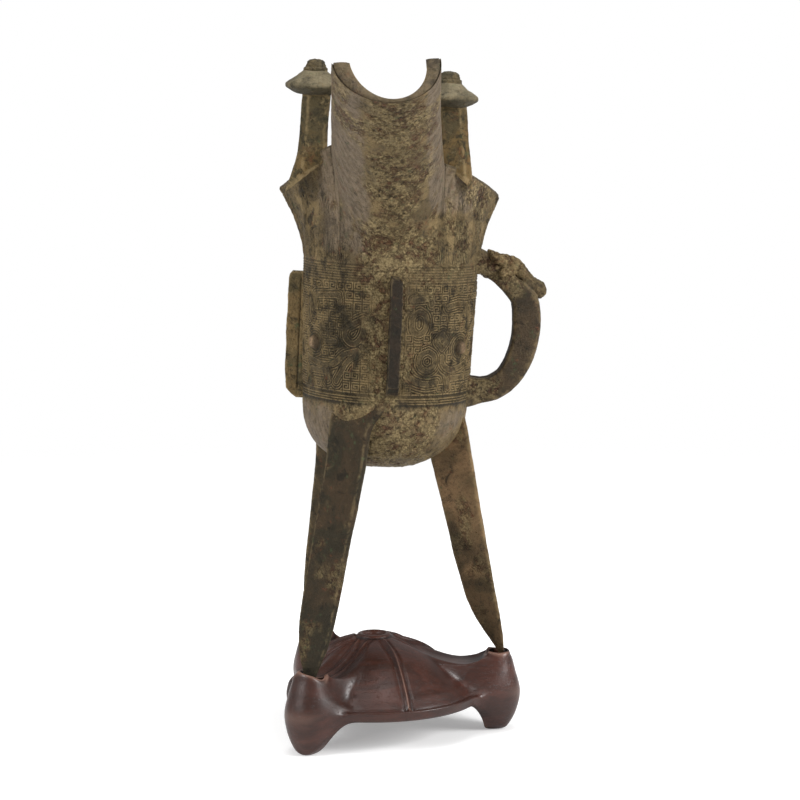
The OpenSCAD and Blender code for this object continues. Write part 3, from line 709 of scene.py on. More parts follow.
azimuth = azimuth_of(columns)[None, :] + 0 * wall[..., 0]
height = wall[..., 2] - BAND_FOOT
from_nose = np.abs(azimuth % 180 - 90)
from_nose_mm = np.radians(from_nose) * BAND_R
on_right = azimuth[0] > 270
band_rows = (height > -6).all(axis=1) & (height < 43).any(axis=1)
band = np.zeros(height.shape)
for side, ribbons in ((on_right, MASK_RIGHT), (~on_right, MASK_LEFT)):
    part = np.ix_(band_rows, side)
    band[part] = mask_relief(from_nose_mm[part], height[part], ribbons)
blade_lines, leaves = blade_relief(azimuth, height)
leaves *= smoothstep(24, 34, from_nose)
blades = blade_lines * leaves
worn = 0.62 + 0.9 * wear.at(wall, 7.0) + 0.5 * wear.at(wall, 2.5)
near_nose = smoothstep(2.0, 12.0, from_nose_mm)
sharpness = np.clip(worn + 0.35, 0.2, 1) * mix(0.3, 1.0, near_nose)
sharpness *= np.where((height > 36) & (height < 42), 0.6, 1)
in_pattern = smoothstep(-5.4, -4.8, height) * np.where(height > 42, 0.9 * leaves, 1)
crust = crust_zone(wall)
bare = bare_zone(wall)
grime_and_shade = np.clip(1 - (band + blades) * 1.5, 0, 1) * sharpness * in_pattern
stain = (azimuth > 180) * ~on_right * bell(from_nose_mm, 16, 10) * bell(height, 22, 13)
stain = smoothstep(0.3, 0.6, stain * 0.9 + 0.8 * wear.at(wall, 5.0) + 0.4 * crumbs.at(wall, 1.6))
# A painted shadow in a ring round each eye boss on the wall.
eye_far = np.hypot(from_nose_mm - EYE_AT[0], height - EYE_AT[1])
grime_and_shade = np.maximum.reduce([grime_and_shade, 0.85 * stain, 0.95 * bell(eye_far, 3.3, 1.0)])
cast_height = (band * BAND_RELIEF + blades * BLADE_RELIEF) * sharpness * mix(1, 0.35, crust)
lift = cast_height + surface_height(wall, crust, bare)
wall = wall + outward(wall, True) * lift[..., None]
point_values = {"grime_and_shade": [grime_and_shade], "crust": [crust], "bare": [bare]}
for part in (spout_skin, tail_skin):
    crust, bare = crust_zone(part), bare_zone(part)
    fade = smoothstep(0, 6, np.arange(len(part)))[::-1, None]
    part += outward(part, False) * (surface_height(part, crust, bare) * fade)[..., None]
    for name, value in (("grime_and_shade", 0 * crust), ("crust", crust), ("bare", bare)):
        point_values[name].append(value)


class Shell:
    """Gathers the points and faces of both skins and the lip between them."""

    def __init__(self):
        self.points, self.count, self.faces = [], 0, []

    def put(self, points):
        flat = points.reshape(-1, 3)
        index = (self.count + np.arange(len(flat))).reshape(points.shape[:-1])
        self.points.append(flat)
        self.count += len(flat)
        return index

    def sheet(self, index, flip, closed=False):
        after = np.roll(index, -1, 1) if closed else index[:, 1:]
        before = index if closed else index[:, :-1]
        quads = np.stack([before[:-1], after[:-1], after[1:], before[1:]], -1).reshape(-1, 4)
        self.faces += (quads[:, ::-1] if flip else quads).tolist()


def round_the_mouth(body, spout, tail, back):
    """Point numbers once round the mouth's edge, or one row back from it."""
    end = -1 - back
    left_side = body[end][tail_columns[-1] + 1:spout_columns[0]]
    right_side = body[end][spout_columns[-1] + 1:]
    return np.concatenate([tail[:, back], tail[end, 1:], tail[-2::-1, end], left_side,
                           spout[:, back], spout[end, 1:], spout[-2::-1, end], right_side])


shell, edges, outer_index = Shell(), [], []
for rows_w, rows_s, rows_t, is_inner in ((wall, spout_skin, tail_skin, False),
                                         (inner_wall, inner_spout, inner_tail, True)):
    pole = shell.put(np.array([[0, 0, BOTTOM_Z + (BOTTOM_T if is_inner else 0)]]))[0]
    body_i, spout_i, tail_i = shell.put(rows_w), shell.put(rows_s), shell.put(rows_t)
    if not is_inner:
        outer_index = [body_i, spout_i, tail_i]
    shell.sheet(body_i, is_inner, True)
    fan = np.stack([np.full(TURN * FINE, pole), np.roll(body_i[0], -1), body_i[0]], -1)
    shell.faces += (fan[:, ::-1] if is_inner else fan).tolist()
    spout_i = np.vstack([body_i[-1][spout_columns], spout_i])
    tail_i = np.vstack([body_i[-1][tail_columns], tail_i])
    shell.sheet(spout_i, is_inner)
    shell.sheet(tail_i, is_inner)
    edges.append([round_the_mouth(body_i, spout_i, tail_i, back) for back in (0, 1)])
points = np.vstack(shell.points)
outer_lip, inner_lip = points[edges[0][0]], points[edges[1][0]]
onward = outer_lip - points[edges[0][1]]
onward /= np.maximum(np.linalg.norm(onward, axis=1, keepdims=True), 1e-6)
on_spout = smoothstep(-62, -80, outer_lip[:, 1:2])
width = np.linalg.norm(outer_lip - inner_lip, axis=1, keepdims=True)
lip_rows, lip_dark = [edges[0][0]], []
# Over the lip from outside to inside: how far across, how high where it is domed, and how
# high on the spout's flat face, which has a fine groove near its outer edge.
LIP_SECTION = ((0.03, 0.12, 0.16), (0.06, 0.2, -0.25), (0.085, 0.26, -0.2), (0.13, 0.33, 0.32),
               (0.5, 0.45, 0.42), (0.8, 0.32, 0.3), (0.95, 0.14, 0.05))
for across, domed, flat_face in LIP_SECTION:
    high = mix(domed * width, flat_face * np.minimum(1, 0.48 * width), on_spout)
    row = shell.put(mix(outer_lip, inner_lip, across) + onward * high)
    lip_rows.append(row)
    lip_dark.append((row, on_spout[:, 0] * (0.05 < across < 0.1)))
lip_rows.append(edges[1][0])
shell.sheet(np.array(lip_rows), False, True)
cup_points = np.vstack(shell.points)
cup = mesh_piece("cast_cup", seated(cup_points), shell.faces, 60)
for name, values in point_values.items():
    whole = np.zeros(len(cup_points))
    for index, value in zip(outer_index, values):
        whole[index.ravel()] = value.ravel()
    # The lip rows are darkened all along, and on the spout its fine groove is darkened fully as painted
    # shade.
    for row, value in lip_dark:
        whole[row] = np.maximum(value, 0.55) if name == "grime_and_shade" else 0.8 * (name == "bare")
    layer = cup.data.attributes.new(name, "FLOAT", "POINT")
    layer.data.foreach_set("value", whole.astype(np.float32))
mark_edges(cup, 0.3, 4)


def warped(tree, where, scale, amount):
    """Places shifted a little by noise, so that nothing drawn with them is regular."""
    noise = add(tree, "TexNoise")
    feed(tree, noise.inputs["Vector"], where)
    feed(tree, noise.inputs["Scale"], scale)
    shift = add(tree, "VectorMath", operation="MULTIPLY_ADD")
    feed(tree, shift.inputs[0], noise.outputs["Color"])
    shift.inputs[1].default_value = (amount, amount, amount)
    feed(tree, shift.inputs[2], where)
    return shift.outputs[0]


def bronze(name, light, deep, dark, crust_amount, dark_amount, rust_amount, lively=1.0):
    """Old bronze skin: mottled brown and olive, with dark patches, khaki crust, rust and green, grime in
    recesses and painted shade where a piece marks it, and edges lightened partly by wear and partly as a
    painted highlight. Lively is how far the mottles and the edges stand out."""
    material, tree, surface, where = new_material(name)
    loose = warped(tree, where, 420, 0.0022)
    broad = noise_at(tree, where, 55, 6, 0.65, 0.8)
    patch = noise_at(tree, where, 190, 9, 0.72, 0.6)
    mottle = noise_at(tree, loose, 460, 8, 0.78)
    grain = noise_at(tree, where, 1300, 5, 0.75)
    speck = noise_at(tree, where, 620, 6, 0.7)
    cells = cracks_at(tree, loose, 640)
    heavy, bare_amount = point_value(tree, "crust"), point_value(tree, "bare")
    grime_and_shade_amount, edge_value = point_value(tree, "grime_and_shade"), point_value(tree, "edge")

    colour = paint(tree, light, deep, band_of(tree, broad, 0.42, 0.58))
    low = 0.66 - 0.2 * dark_amount
    colour = paint(tree, colour, dark, band_of(tree, patch, low - 0.04, low + 0.08), 0.85)
    streaks = add(tree, "Mapping")
    streaks.inputs["Scale"].default_value = (1.0, 1.0, 0.25)
    feed(tree, streaks.inputs["Vector"], where)
    streaky = noise_at(tree, streaks.outputs[0], 560, 6, 0.7)
    smooth_skin = paint(tree, rgb(124, 109, 91), rgb(90, 78, 63), band_of(tree, streaky, 0.4, 0.62))
    colour = paint(tree, colour, smooth_skin, bare_amount, 0.85)
    colour = paint(tree, colour, rgb(40, 35, 22), band_of(tree, mottle, 0.53, 0.64), 0.7 * lively)
    colour = paint(tree, colour, rgb(132, 112, 78), band_of(tree, mottle, 0.45, 0.36), 0.4 * lively)

    red = times(tree, heavy, band_of(tree, patch, 0.5, 0.42))
    colour = paint(tree, colour, rgb(98, 62, 42), red, 0.65)
    blot = noise_at(tree, where, 300, 9, 0.76)
    spots = band_of(tree, blot, 0.64 - 0.16 * crust_amount, 0.71 - 0.14 * crust_amount)
    spots = times(tree, spots, spread(tree, bare_amount, 0.75, 0.1))
    heaped = times(tree, heavy, band_of(tree, reckon(tree, "ADD", patch, speck), 0.86, 1.02))
    spots = reckon(tree, "MAXIMUM", spots, heaped)
    crust_colour = paint(tree, rgb(160, 141, 101), rgb(116, 99, 67), band_of(tree, grain, 0.4, 0.58))
    colour = paint(tree, colour, crust_colour, spots, 0.75)
    cracked = times(tree, band_of(tree, cells, 0.14, 0.02), heavy)
    cracked = times(tree, cracked, band_of(tree, patch, 0.6, 0.4))
    colour = paint(tree, colour, rgb(56, 42, 27), cracked, 0.5)
    colour = paint(tree, colour, rgb(30, 25, 15), band_of(tree, grain, 0.54, 0.68), 0.6)

    rust = band_of(tree, noise_at(tree, where, 230, 8, 0.74), 0.64 - 0.1 * rust_amount, 0.68)
    rust = times(tree, rust, band_of(tree, grain, 0.38, 0.56))
    colour = paint(tree, colour, rgb(112, 66, 42), rust, 0.6)
    green = band_of(tree, noise_at(tree, where, 270, 7, 0.66), 0.58, 0.66)
    green = times(tree, green, band_of(tree, speck, 0.45, 0.6))
    colour = paint(tree, colour, rgb(68, 82, 54), green, 0.65)

    # Darkened by the point value: grime in the pattern's recesses and a stain, and painted shade under
    # the cap brims, round the eyes, over the legs' lower halves and on the lip.
    colour = paint(tree, colour, rgb(30, 26, 15), grime_and_shade_amount, 0.82)
    colour = paint(tree, colour, rgb(28, 24, 16), band_of(tree, edge_value, 0.44, 0.12), 0.6)
    # Ridges and edges lightened, partly by wear and partly as a painted highlight.
    worn_and_highlit = times(tree, band_of(tree, edge_value, 0.58, 0.95), band_of(tree, patch, 0.58, 0.44))
    worn_and_highlit = times(tree, worn_and_highlit, spread(tree, bare_amount, 0.1 + 0.5 * lively, 0.05))
    colour = paint(tree, colour, rgb(148, 128, 92), worn_and_highlit)
    feed(tree, surface.inputs["Base Color"], colour)
    surface.inputs["Metallic"].default_value = 0.15
    surface.inputs["Specular IOR Level"].default_value = 0.22
    feed(tree, surface.inputs["Roughness"], spread(tree, speck, 0.42, 0.75))
    height = reckon(tree, "ADD", times(tree, grain, 0.7), times(tree, spots, 0.6))
    height = reckon(tree, "SUBTRACT", height, times(tree, cracked, 0.8))
    bump_on(tree, surface, height, 1.0, 0.0009)
    return material


def mark_zone(piece, name, function):
    """Writes on each point a value worked out from its place in millimetres."""
    mesh = piece.data
    place = np.empty(len(mesh.vertices) * 3)
    mesh.vertices.foreach_get("co", place)
    layer = mesh.attributes.new(name, "FLOAT", "POINT")
    layer.data.foreach_set("value", function(place.reshape(-1, 3) * 1000).astype(np.float32))


cup_skin = bronze("bronze_cup", rgb(126, 107, 73), rgb(94, 80, 56), rgb(44, 37, 25), 0.5, 0.6, 0.8)
cup.data.materials.append(cup_skin)
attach(cup, "vessel")
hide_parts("cup")


# Legs
# Three blade legs, cast with the cup and spread to a tripod: a flat outer face, a blunt
# ridge inside, and a leaf-shaped taper to the tip that stands in the socket.
LEG_TIP_R, LEG_TOP_R, LEG_W, LEG_D = 43.6, 27.2, 15.4, 12.6
LEG_LOW, LEG_BEND, LEG_HIGH, LEG_RUN = 24.5, 46.0, 117.5, 78.0
LEG_CHAMFER, NICK_Z, NICK_DEEP, LEG_WIDER = 1.1, 80.6, 0.9, (5.0, 2.0, 2.0)
LEG_TOP_SHIFT, LEG_ASIDE, LEG_BOW = (2.6, 1.2, 1.8), (4.5, 2.0, 0.0), (-0.6, 0.4, 0.0)
LEG_DEEPER, LEG_LEAST_R, LEG_SIDE = (0.0, 0.0, 2.2), (31.1, 31.1, 0.0), (2.4, 1.1, 1.1)
LEG_HEIGHTS = np.array([LEG_LOW, 27.5, 31, 35, 40, LEG_BEND, 54, 66, 82, 98, 108, LEG_HIGH])
LEG_SHARES = np.array([0.2, 0.33, 0.5, 0.67, 0.81, 0.89, 0.92, 0.94, 0.97, 1, 1.02, 1.03])
# Each leg: its names, its three browns, its crust, how lively it is, the height where the crust
# begins, how rusty it is half way down and how dark its lower half is.
LEGS = (("blade_leg_front", "leg_front", (rgb(62, 49, 33), rgb(46, 40, 27), rgb(28, 24, 15)),
         0.05, 0.3, 112, 0.15, 0.25),
        ("blade_leg_rear", "leg_rear", (rgb(76, 63, 43), rgb(58, 50, 35), rgb(30, 27, 18)),
         0.2, 0.6, 108, 0.1, 0.25),
        ("blade_leg_handle", "leg_handle", (rgb(138, 110, 78), rgb(104, 84, 58), rgb(50, 42, 28)),
         0.25, 0.6, 100, 0.4, 0.75))


def rounded(outline, count, passes):
    """A closed outline drawn again with even steps and softened corners."""
    corners = np.array(outline + outline[:1], float)
    run = np.concatenate([[0], np.cumsum(np.linalg.norm(np.diff(corners, axis=0), axis=1))])
    at = np.linspace(0, run[-1], count, endpoint=False)
    out = np.stack([np.interp(at, run, corners[:, k]) for k in (0, 1)], -1)
    for _ in range(passes):
        out = evened(out, 0)
    return out


def aged(rings, wave, size, crumb, out=0.0):
    """Rings with the old surface on them: soft waves of a given size, crust, and a step outward."""
    height = wave * lumps.at(rings, size) + crumb * crusty(rings) + out
    return rings + outward(rings, True) * height[..., None]


def cup_core(name):
    """The filled form of the cup just under its skin, to trim what is cast against it."""
    around = np.arange(0, TURN, 0.25)
    levels = np.concatenate([np.linspace(0.4, 7, 14), np.linspace(7, 10, 6)[1:],
                             np.linspace(10, 13, 8)[1:]])
    middle = np.array([0, 0, 130])
    rings = np.array([pushed(wall_row(j, around, 0)) for j in levels])
    return tube(name, seated((rings - middle) * [0.985, 0.985, 0.99] + middle))


def leg_ring(z, k, n):
    """The section of leg n at a height, drawn at a share k of its full size."""
    g = (z - SEAT_Z) / LEG_RUN
    along = min(1, max(0, g))
    out = (mix(LEG_TIP_R + LEG_TIP_SHIFT[n], LEG_TOP_R + LEG_TOP_SHIFT[n], g)
           - 2 * max(0, 1 - k) ** 1.5 - (0.2 if n == 2 else 0) * sind(180 * along))
    out = max(out, LEG_LEAST_R[n]) - 2.4 * smoothstep(109, LEG_HIGH, z)
    aside = LEG_ASIDE[n] * g + LEG_BOW[n] * sind(180 * math.sqrt(along))
    deep = (LEG_D + LEG_DEEPER[n] * g) * (0.06 + 0.94 * k ** 1.9)
    w, b = LEG_W * k, LEG_SIDE[n] * k
    e = b - LEG_CHAMFER * k
    outline = [(0, -w / 2), (0, w / 2 - 1.1 * e), (-b, w / 2 - 0.6 * e), (-deep, 0.7), (-deep, -0.7),
               (-LEG_CHAMFER * k, -w / 2)]
    flat = rounded(outline, 110, 2)
    dish = 0.3 * k * smoothstep(w / 2, w / 5, np.abs(flat[:, 1])) * (flat[:, 0] > -0.3)
    nick = NICK_DEEP * bell(z, NICK_Z, 0.9) - 0.5 * bell(z, NICK_Z + 2.8, 1.4) if n == 0 else 0
    flat[:, 1] += nick * smoothstep(-w / 2 + 1.6, -w / 2 + 0.4, flat[:, 1])
    flat[:, 1] += LEG_WIDER[n] * smoothstep(103, 118, z) ** 2 * smoothstep(0, w / 2, flat[:, 1])
    a = math.radians(LEG_AZIMUTH[n])
    r, s = out + flat[:, 0] - dish, aside + flat[:, 1]
    tip_drop = (TIP_REACH + LEG_TIP_SHIFT[n] + 1) * math.cos(a) * math.sin(LEAN)
    lift = tip_drop * max(0, 1 - (z - LEG_LOW) / 40)
    return np.stack([r * math.cos(a) - s * math.sin(a), r * math.sin(a) + s * math.cos(a),
                     0 * r + z + lift], -1)


def leg_crust(p, crust_from, rusty):
    """Crust on a leg's top, and some where it is rusty half way down."""
    zone = 0.6 * smoothstep(crust_from - 12, crust_from + 12, p[:, 2]) + rusty * bell(p[:, 2], 60, 18)
    return 0.7 * smoothstep(0.35, 0.65, zone + 0.1 + 0.9 * wear.at(p, 6.0) + 0.3 * crumbs.at(p, 2.0))


def leg_lower_shade(p, darkness):
    """Painted shade over a leg's lower half, darker towards the bottom and broken up by noise."""
    zone = 0.8 * smoothstep(88, 54, p[:, 2])
    return darkness * smoothstep(0.3, 0.7, zone + 0.9 * wear.at(p, 7.0))


leg_heights = np.concatenate([np.linspace(LEG_LOW, LEG_BEND, 40),
                              np.linspace(LEG_BEND, LEG_HIGH, 130)[1:]])
leg_shares = np.interp(leg_heights, LEG_HEIGHTS, LEG_SHARES)
for n, (name, node, browns, crust_amount, lively, crust_from, rusty, darkness) in enumerate(LEGS):
    rings = np.array([leg_ring(z, float(k), n) for z, k in zip(leg_heights, leg_shares)])
    for _ in range(14):
        rings = evened_between(rings)
    leg = tube(name, seated(aged(rings, 0.3, 9.0, 0.18)))
    carve(leg, [cup_core("core_cutter")])
    mark_edges(leg, 0.35, 6)
    mark_zone(leg, "crust", lambda p: leg_crust(p, crust_from, rusty))
    # Painted shade over the leg's lower half.
    mark_zone(leg, "grime_and_shade", lambda p: leg_lower_shade(p, darkness))
    leg.data.materials.append(bronze("bronze_" + node, *browns, crust_amount, 0.4, 0.6, lively))
    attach(leg, "vessel")
    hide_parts(node)


# Handle
# A thick strap cast on at the side, looped from the shoulder to the foot of the band,
# with softened edges where fingers have worn it.
STRAP_T, STRAP_W, STRAP_FLARE = 8.2, 12.0, 0.22
LOOP = np.array([[24, 164.4], [31, 163.4], [36.4, 160.4], [40.9, 156.4], [45.7, 151.6], [46.9, 144.7],
                 [46.5, 137], [44.4, 129.8], [41, 124.3], [36.2, 120.9], [30, 119.6], [25, 119.4]])
LOOP_SHARE = np.array([1, 0.95, 0.85, 0.84, 1.14, 1.18, 1.12, 1.08, 1, 1, 1.05, 1.05])

at = np.linspace(0, len(LOOP) - 1.001, 190)
line = profile_at(LOOP, at)
way = np.gradient(line, axis=0)
way /= np.linalg.norm(way, axis=1, keepdims=True)
rings = []
for (x, z), (dx, dz), k in zip(line, way, np.interp(at, np.arange(len(LOOP)), LOOP_SHARE)):
    thick = STRAP_T * k / 2
    flat = rounded([(-thick, -STRAP_W / 2), (thick, -STRAP_W / 2), (thick, STRAP_W / 2),
                    (-thick, STRAP_W / 2)], 84, 14)
    flat[:, 0] *= thick / np.abs(flat[:, 0]).max()
    rings.append(np.stack([x + dz * flat[:, 0], flat[:, 1], z - dx * flat[:, 0]], -1))
rings = np.array(rings)
flare = STRAP_FLARE * smoothstep(33, 27, line[:, 0])
centre = rings.mean(axis=1, keepdims=True)
rings = centre + (rings - centre) * (1 + flare[:, None, None])
strap = tube("strap_handle", seated(aged(rings, -0.25, 8.0, 0.22, -0.05)))
carve(strap, [cup_core("core_cutter")])
mark_edges(strap, 0.35, 6)


def shoulder_crust(p):
    """Crust over the handle's shoulder, and a little where it comes back to the cup."""
    shoulder = smoothstep(146, 158, p[:, 2])
    foot = 0.8 * smoothstep(38, 24, p[:, 0]) * smoothstep(130, 122, p[:, 2])
    zone = 0.75 * np.maximum(shoulder, foot) + 0.05
    return 0.7 * smoothstep(0.35, 0.65, zone + 0.8 * wear.at(p, 5.0) + 0.3 * crumbs.at(p, 1.8))


mark_zone(strap, "crust", shoulder_crust)
strap_skin = bronze("bronze_strap", rgb(70, 57, 41), rgb(54, 46, 34), rgb(32, 27, 18),
                    0.15, 0.4, 0.5, 0.5)
strap.data.materials.append(strap_skin)
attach(strap, "vessel")
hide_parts("handle")


# Handle head
# A small ox head in the round over the shoulder of the strap: brow, snout, laid-back
# horns and ears, modelled in wax-soft forms and cast with the handle.
# Each part is a hull over balls, given by their middles and radii; those of one side are
# repeated on the other.
HEAD_PARTS = [
    [((33.6, 0, 162.6), 4.3), ((40.6, 0, 161.3), 4.7)],
    [((40.6, 0, 161.3), 4.7), ((44.6, 0, 157.9), 3.9)],
    [((44.6, 0, 157.9), 3.9), ((49.0, 0.9, 155.2), 2.9), ((49.0, -0.9, 155.2), 2.9)],
    [((49.6, 0.0, 155.4), 3.1), ((50.2, 0.0, 154.6), 2.7)]]
for s in (-1, 1):
    HEAD_PARTS += [
        [((39.4, s * 3.4, 163.0), 2.0), ((36.2, s * 6.2, 165.2), 1.6)],
        [((36.2, s * 6.2, 165.2), 1.6), ((33.6, s * 4.6, 166.8), 1.0)],
        [((40.4, s * 3.6, 161.0), 2.3), ((37.4, s * 7.4, 160.4), 1.1)],
        [((44.0, s * 3.6, 160.3), 1.6), ((44.6, s * 3.7, 160.1), 1.4)],
        [((49.3, s * 1.7, 156.1), 1.2), ((50.8, s * 1.6, 155.0), 0.9)]]

HEAD_VOXEL = 0.00028
joined = bmesh.new()
for part in HEAD_PARTS:
    soft_part = bmesh.new()
    for p, r in part:
        ball = bmesh.ops.create_icosphere(soft_part, subdivisions=3, radius=r * 0.001)
        bmesh.ops.translate(soft_part, verts=ball["verts"], vec=seated(np.array(p, float)) * 0.001)
    hull = bmesh.ops.convex_hull(soft_part, input=soft_part.verts)
    inside = {v for v in hull["geom_interior"] + hull["geom_unused"]
              if isinstance(v, bmesh.types.BMVert)}
    bmesh.ops.delete(soft_part, geom=list(inside), context="VERTS")
    holder = bpy.data.meshes.new("head_part")
    soft_part.to_mesh(holder)
    soft_part.free()
    joined.from_mesh(holder)
    bpy.data.meshes.remove(holder)
head_mesh = bpy.data.meshes.new("ox_head")
joined.to_mesh(head_mesh)
joined.free()
head = bpy.data.objects.new("ox_head", head_mesh)
bpy.context.scene.collection.objects.link(head)
melt = head.modifiers.new("melt", "REMESH")
melt.mode, melt.voxel_size = "VOXEL", HEAD_VOXEL
soften = head.modifiers.new("soften", "SMOOTH")
soften.iterations, soften.factor = 4, 0.5
bpy.context.view_layer.update()
cast_head = bpy.data.meshes.new_from_object(head.evaluated_get(bpy.context.evaluated_depsgraph_get()))
head.modifiers.clear()
head.data = cast_head
place = np.empty(len(cast_head.vertices) * 3)
way = np.empty(len(cast_head.vertices) * 3)
cast_head.vertices.foreach_get("co", place)
cast_head.vertices.foreach_get("normal", way)
place, way = place.reshape(-1, 3) * 1000, way.reshape(-1, 3)
place += way * (0.8 * crusty(place) + 0.7 * lumps.at(place, 3.0) + 0.2)[:, None]
cast_head.vertices.foreach_set("co", (place * 0.001).ravel())
cast_head.shade_smooth()
carve(head, [cup_core("core_cutter")])
mark_edges(head, 0.4, 5)
mark_zone(head, "crust", shoulder_crust)
head_skin = bronze("bronze_head", rgb(104, 84, 54), rgb(74, 62, 42), rgb(34, 28, 19), 0.5, 0.5, 0.8)
head.data.materials.append(head_skin)
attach(head, "vessel")
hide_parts("handle_head")


# Posts
# Two square posts that rise from the rim beside the spout, chamfered outside, and run
# out below into the slope of the rim. The left one's foot also spreads back on to it.
POST_FOOT = np.array([[-27.6, -21, 192], [20.5, -21, 194]])
POST_HEAD = np.array([[-26.8, -22, 217.3], [18.0, -22, 215.2]])
POST_WIDTHS = ((10.4, 9.3), (12.6, 9.3))
POST_FLARE, POST_BACK, POST_SHIFT = (3.0, 0.5), (8.5, 0), (0, 1.2)
POST_OUTER, POST_INNER, POST_SLOPE = 3.6, 3.4, 0.85
post_skin = bronze("bronze_post", rgb(106, 85, 50), rgb(76, 66, 42), rgb(38, 36, 22), 0.5, 0.7, 0.9)
for n, side in enumerate(("left", "right")):
    toward_spout = 1 if n == 0 else -1
    rings = []
    for t in np.linspace(0, 1.03, 66):
        half = mix(*POST_WIDTHS[n], min(1, t * 2)) / 2
        low = max(0, 1 - t / 0.3) ** 2
        outer_x = -toward_spout * (half + POST_FLARE[n] * low)
        back = POST_BACK[n] * low
        inner_x, bevel = toward_spout * half, toward_spout * (half - 1)
        flat = rounded([(outer_x, POST_INNER + back), (inner_x, POST_INNER + 0.4 * back),
                        (inner_x, -POST_OUTER + 1), (bevel, -POST_OUTER),
                        (-toward_spout * (half - 2.2), -POST_OUTER), (outer_x, -0.8)], 84, 2)
        slope = toward_spout * POST_SLOPE * (1 - t) ** 6
        at = mix(POST_FOOT[n], POST_HEAD[n], t) - [POST_SHIFT[n] * max(0, 1 - t * 2), 0, 0]
        rings.append(np.stack([at[0] + flat[:, 0], at[1] + flat[:, 1], at[2] + slope * flat[:, 0]], -1))
    rings = np.array(rings)
    if n == 0:
        rings = rings[:, ::-1]
    post = tube("rim_post_" + side, seated(aged(rings, 0.25, 7.0, 0.22)))
    mark_edges(post, 0.35, 6)
    post.data.materials.append(post_skin)
    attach(post, "vessel")
    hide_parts("post_" + side)


# Caps and finials
# Umbrella caps that crown the posts: a sloped top, a rounded brim and a shallow cone under
# it, and a small stepped knob, cast on the posts, pale above, with painted shade below the brim.
CAP_AT = np.array([[-27.3, -22, 217.3], [16.6, -22, 215.2]])
CAP_PROFILE = np.array([
    (0.05, 0), (3.0, 0), (4.9, 0.05), (6.3, 0.45), (7.8, 1.05), (9.0, 1.7), (9.5, 2.05), (9.8, 2.5),
    (9.85, 3.0), (9.7, 3.5), (9.25, 4.0), (8.5, 4.5), (7.3, 5.2), (6.0, 6.0),
    (5.0, 6.8), (4.3, 7.4), (3.7, 7.8), (2.0, 7.9), (0.05, 7.9)])
KNOB_PROFILE = np.array([
    (0.05, 0), (3.5, 0), (3.8, 0.3), (3.75, 0.9), (3.35, 1.3), (3.35, 1.8), (3.1, 2.4), (3.0, 2.9),
    (2.5, 3.4), (1.6, 3.7), (0.05, 3.7)])
BRIM_UP, KNOB_UP = 2.6, 7.75


def turned(name, profile, at, wobble):
    """A turned form with a worn, uneven skin."""
    smooth = profile_at(profile, np.linspace(0, len(profile) - 1.001, 100))
    rows = lathe_rings(np.maximum(smooth, [0.05, -9]), *at, 120)
    rows[1:-1] = aged(rows, wobble, 4.0, 0.5 * wobble)[1:-1]
    return tube(name, seated(rows))


cap_skin = bronze("bronze_cap", rgb(122, 112, 88), rgb(96, 88, 68), rgb(46, 41, 30), 0.3, 0.4, 0.2, 0.8)
knob_skin = bronze("bronze_knob", rgb(92, 80, 56), rgb(74, 68, 50), rgb(36, 34, 25), 0.45, 0.6, 0.4)
for n, side in enumerate(("left", "right")):
    cap = turned("umbrella_cap_" + side, CAP_PROFILE, CAP_AT[n], 0.55)
    knob = turned("cap_knob_" + side, KNOB_PROFILE, CAP_AT[n] + [0, 0, KNOB_UP], 1.1)
    brim = seated(CAP_AT[n])[2] + BRIM_UP
    for piece, material, node in ((cap, cap_skin, "cap_" + side), (knob, knob_skin, "finial_" + side)):
        mark_edges(piece, 0.35, 6)
        # Painted shade below the cap's brim.
        mark_zone(piece, "grime_and_shade", lambda p: 0.6 * smoothstep(brim + 0.4, brim - 0.8, p[:, 2]))
        piece.data.materials.append(material)
        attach(piece, "vessel")
        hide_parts(node)


# Flanges
# Upright bars on the mould's joints: one below the spout, one opposite the handle and
# one below the tail. Their long edges are squared, their ends are worn, and the side and
# the rear one have a faint groove up both faces.
FLANGE_T = 4.0
FLANGES = (("flange_bar_front", "flange_front", 274.1, BODY_B, 120.2, 159.6, 4.0),
           ("flange_bar_side", "flange_side", 180.0, BODY_A, 114.8, 157.8, 6.2),
           ("flange_bar_rear", "flange_rear", 90.0, BODY_B, 116.0, 158.6, 5.0))
FLANGE_H = np.array([0, 1, 3, 9, 16, 22, 28, 34, 38, 40, 41]) / 41
FLANGE_K = np.array([0.35, 0.62, 0.93, 1, 1.02, 1.02, 1, 1, 0.99, 0.95, 0.78])
dark_flange_skin = bronze("bronze_flange_dark", rgb(44, 34, 23), rgb(34, 28, 19), rgb(20, 17, 11),
                          0.0, 0.5, 0.2, 0.3)
flange_skin = bronze("bronze_flange", rgb(118, 98, 64), rgb(92, 80, 54), rgb(42, 37, 25),
                     0.45, 0.5, 0.6)
for n, (name, node, azimuth, reach, low, high, out) in enumerate(FLANGES):
    rings = []
    for t in np.linspace(0, 1, 150):
        deep = out * float(np.interp(t, FLANGE_H, FLANGE_K))
        chipped = 1.3 * smoothstep(0.955, 0.975, t) if n == 0 else 0
        flat = rounded([(-3, -FLANGE_T / 2), (deep, -FLANGE_T / 2), (deep, FLANGE_T / 2 - chipped),
                        (-3, FLANGE_T / 2 - chipped)], 96, 2)
        between_ends = smoothstep(0.04, 0.08, t) * smoothstep(0.97, 0.93, t)
        groove = bell(flat[:, 0], out * 0.3, 0.35) * between_ends
        flat[:, 1] *= 1 - 0.16 * groove * (n > 0)
        a = math.radians(azimuth)
        x, y = reach + flat[:, 0], flat[:, 1]
        rings.append(np.stack([x * math.cos(a) - y * math.sin(a), x * math.sin(a) + y * math.cos(a),
                               0 * x + mix(low, high, t)], -1))
    bar = tube(name, seated(aged(np.array(rings), 0.35, 6.0, 0.25)))
    carve(bar, [cup_core("core_cutter")])
    mark_edges(bar, 0.35, 6)
    bar.data.materials.append(dark_flange_skin if n == 0 else flange_skin)
    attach(bar, "vessel")
    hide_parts(node)
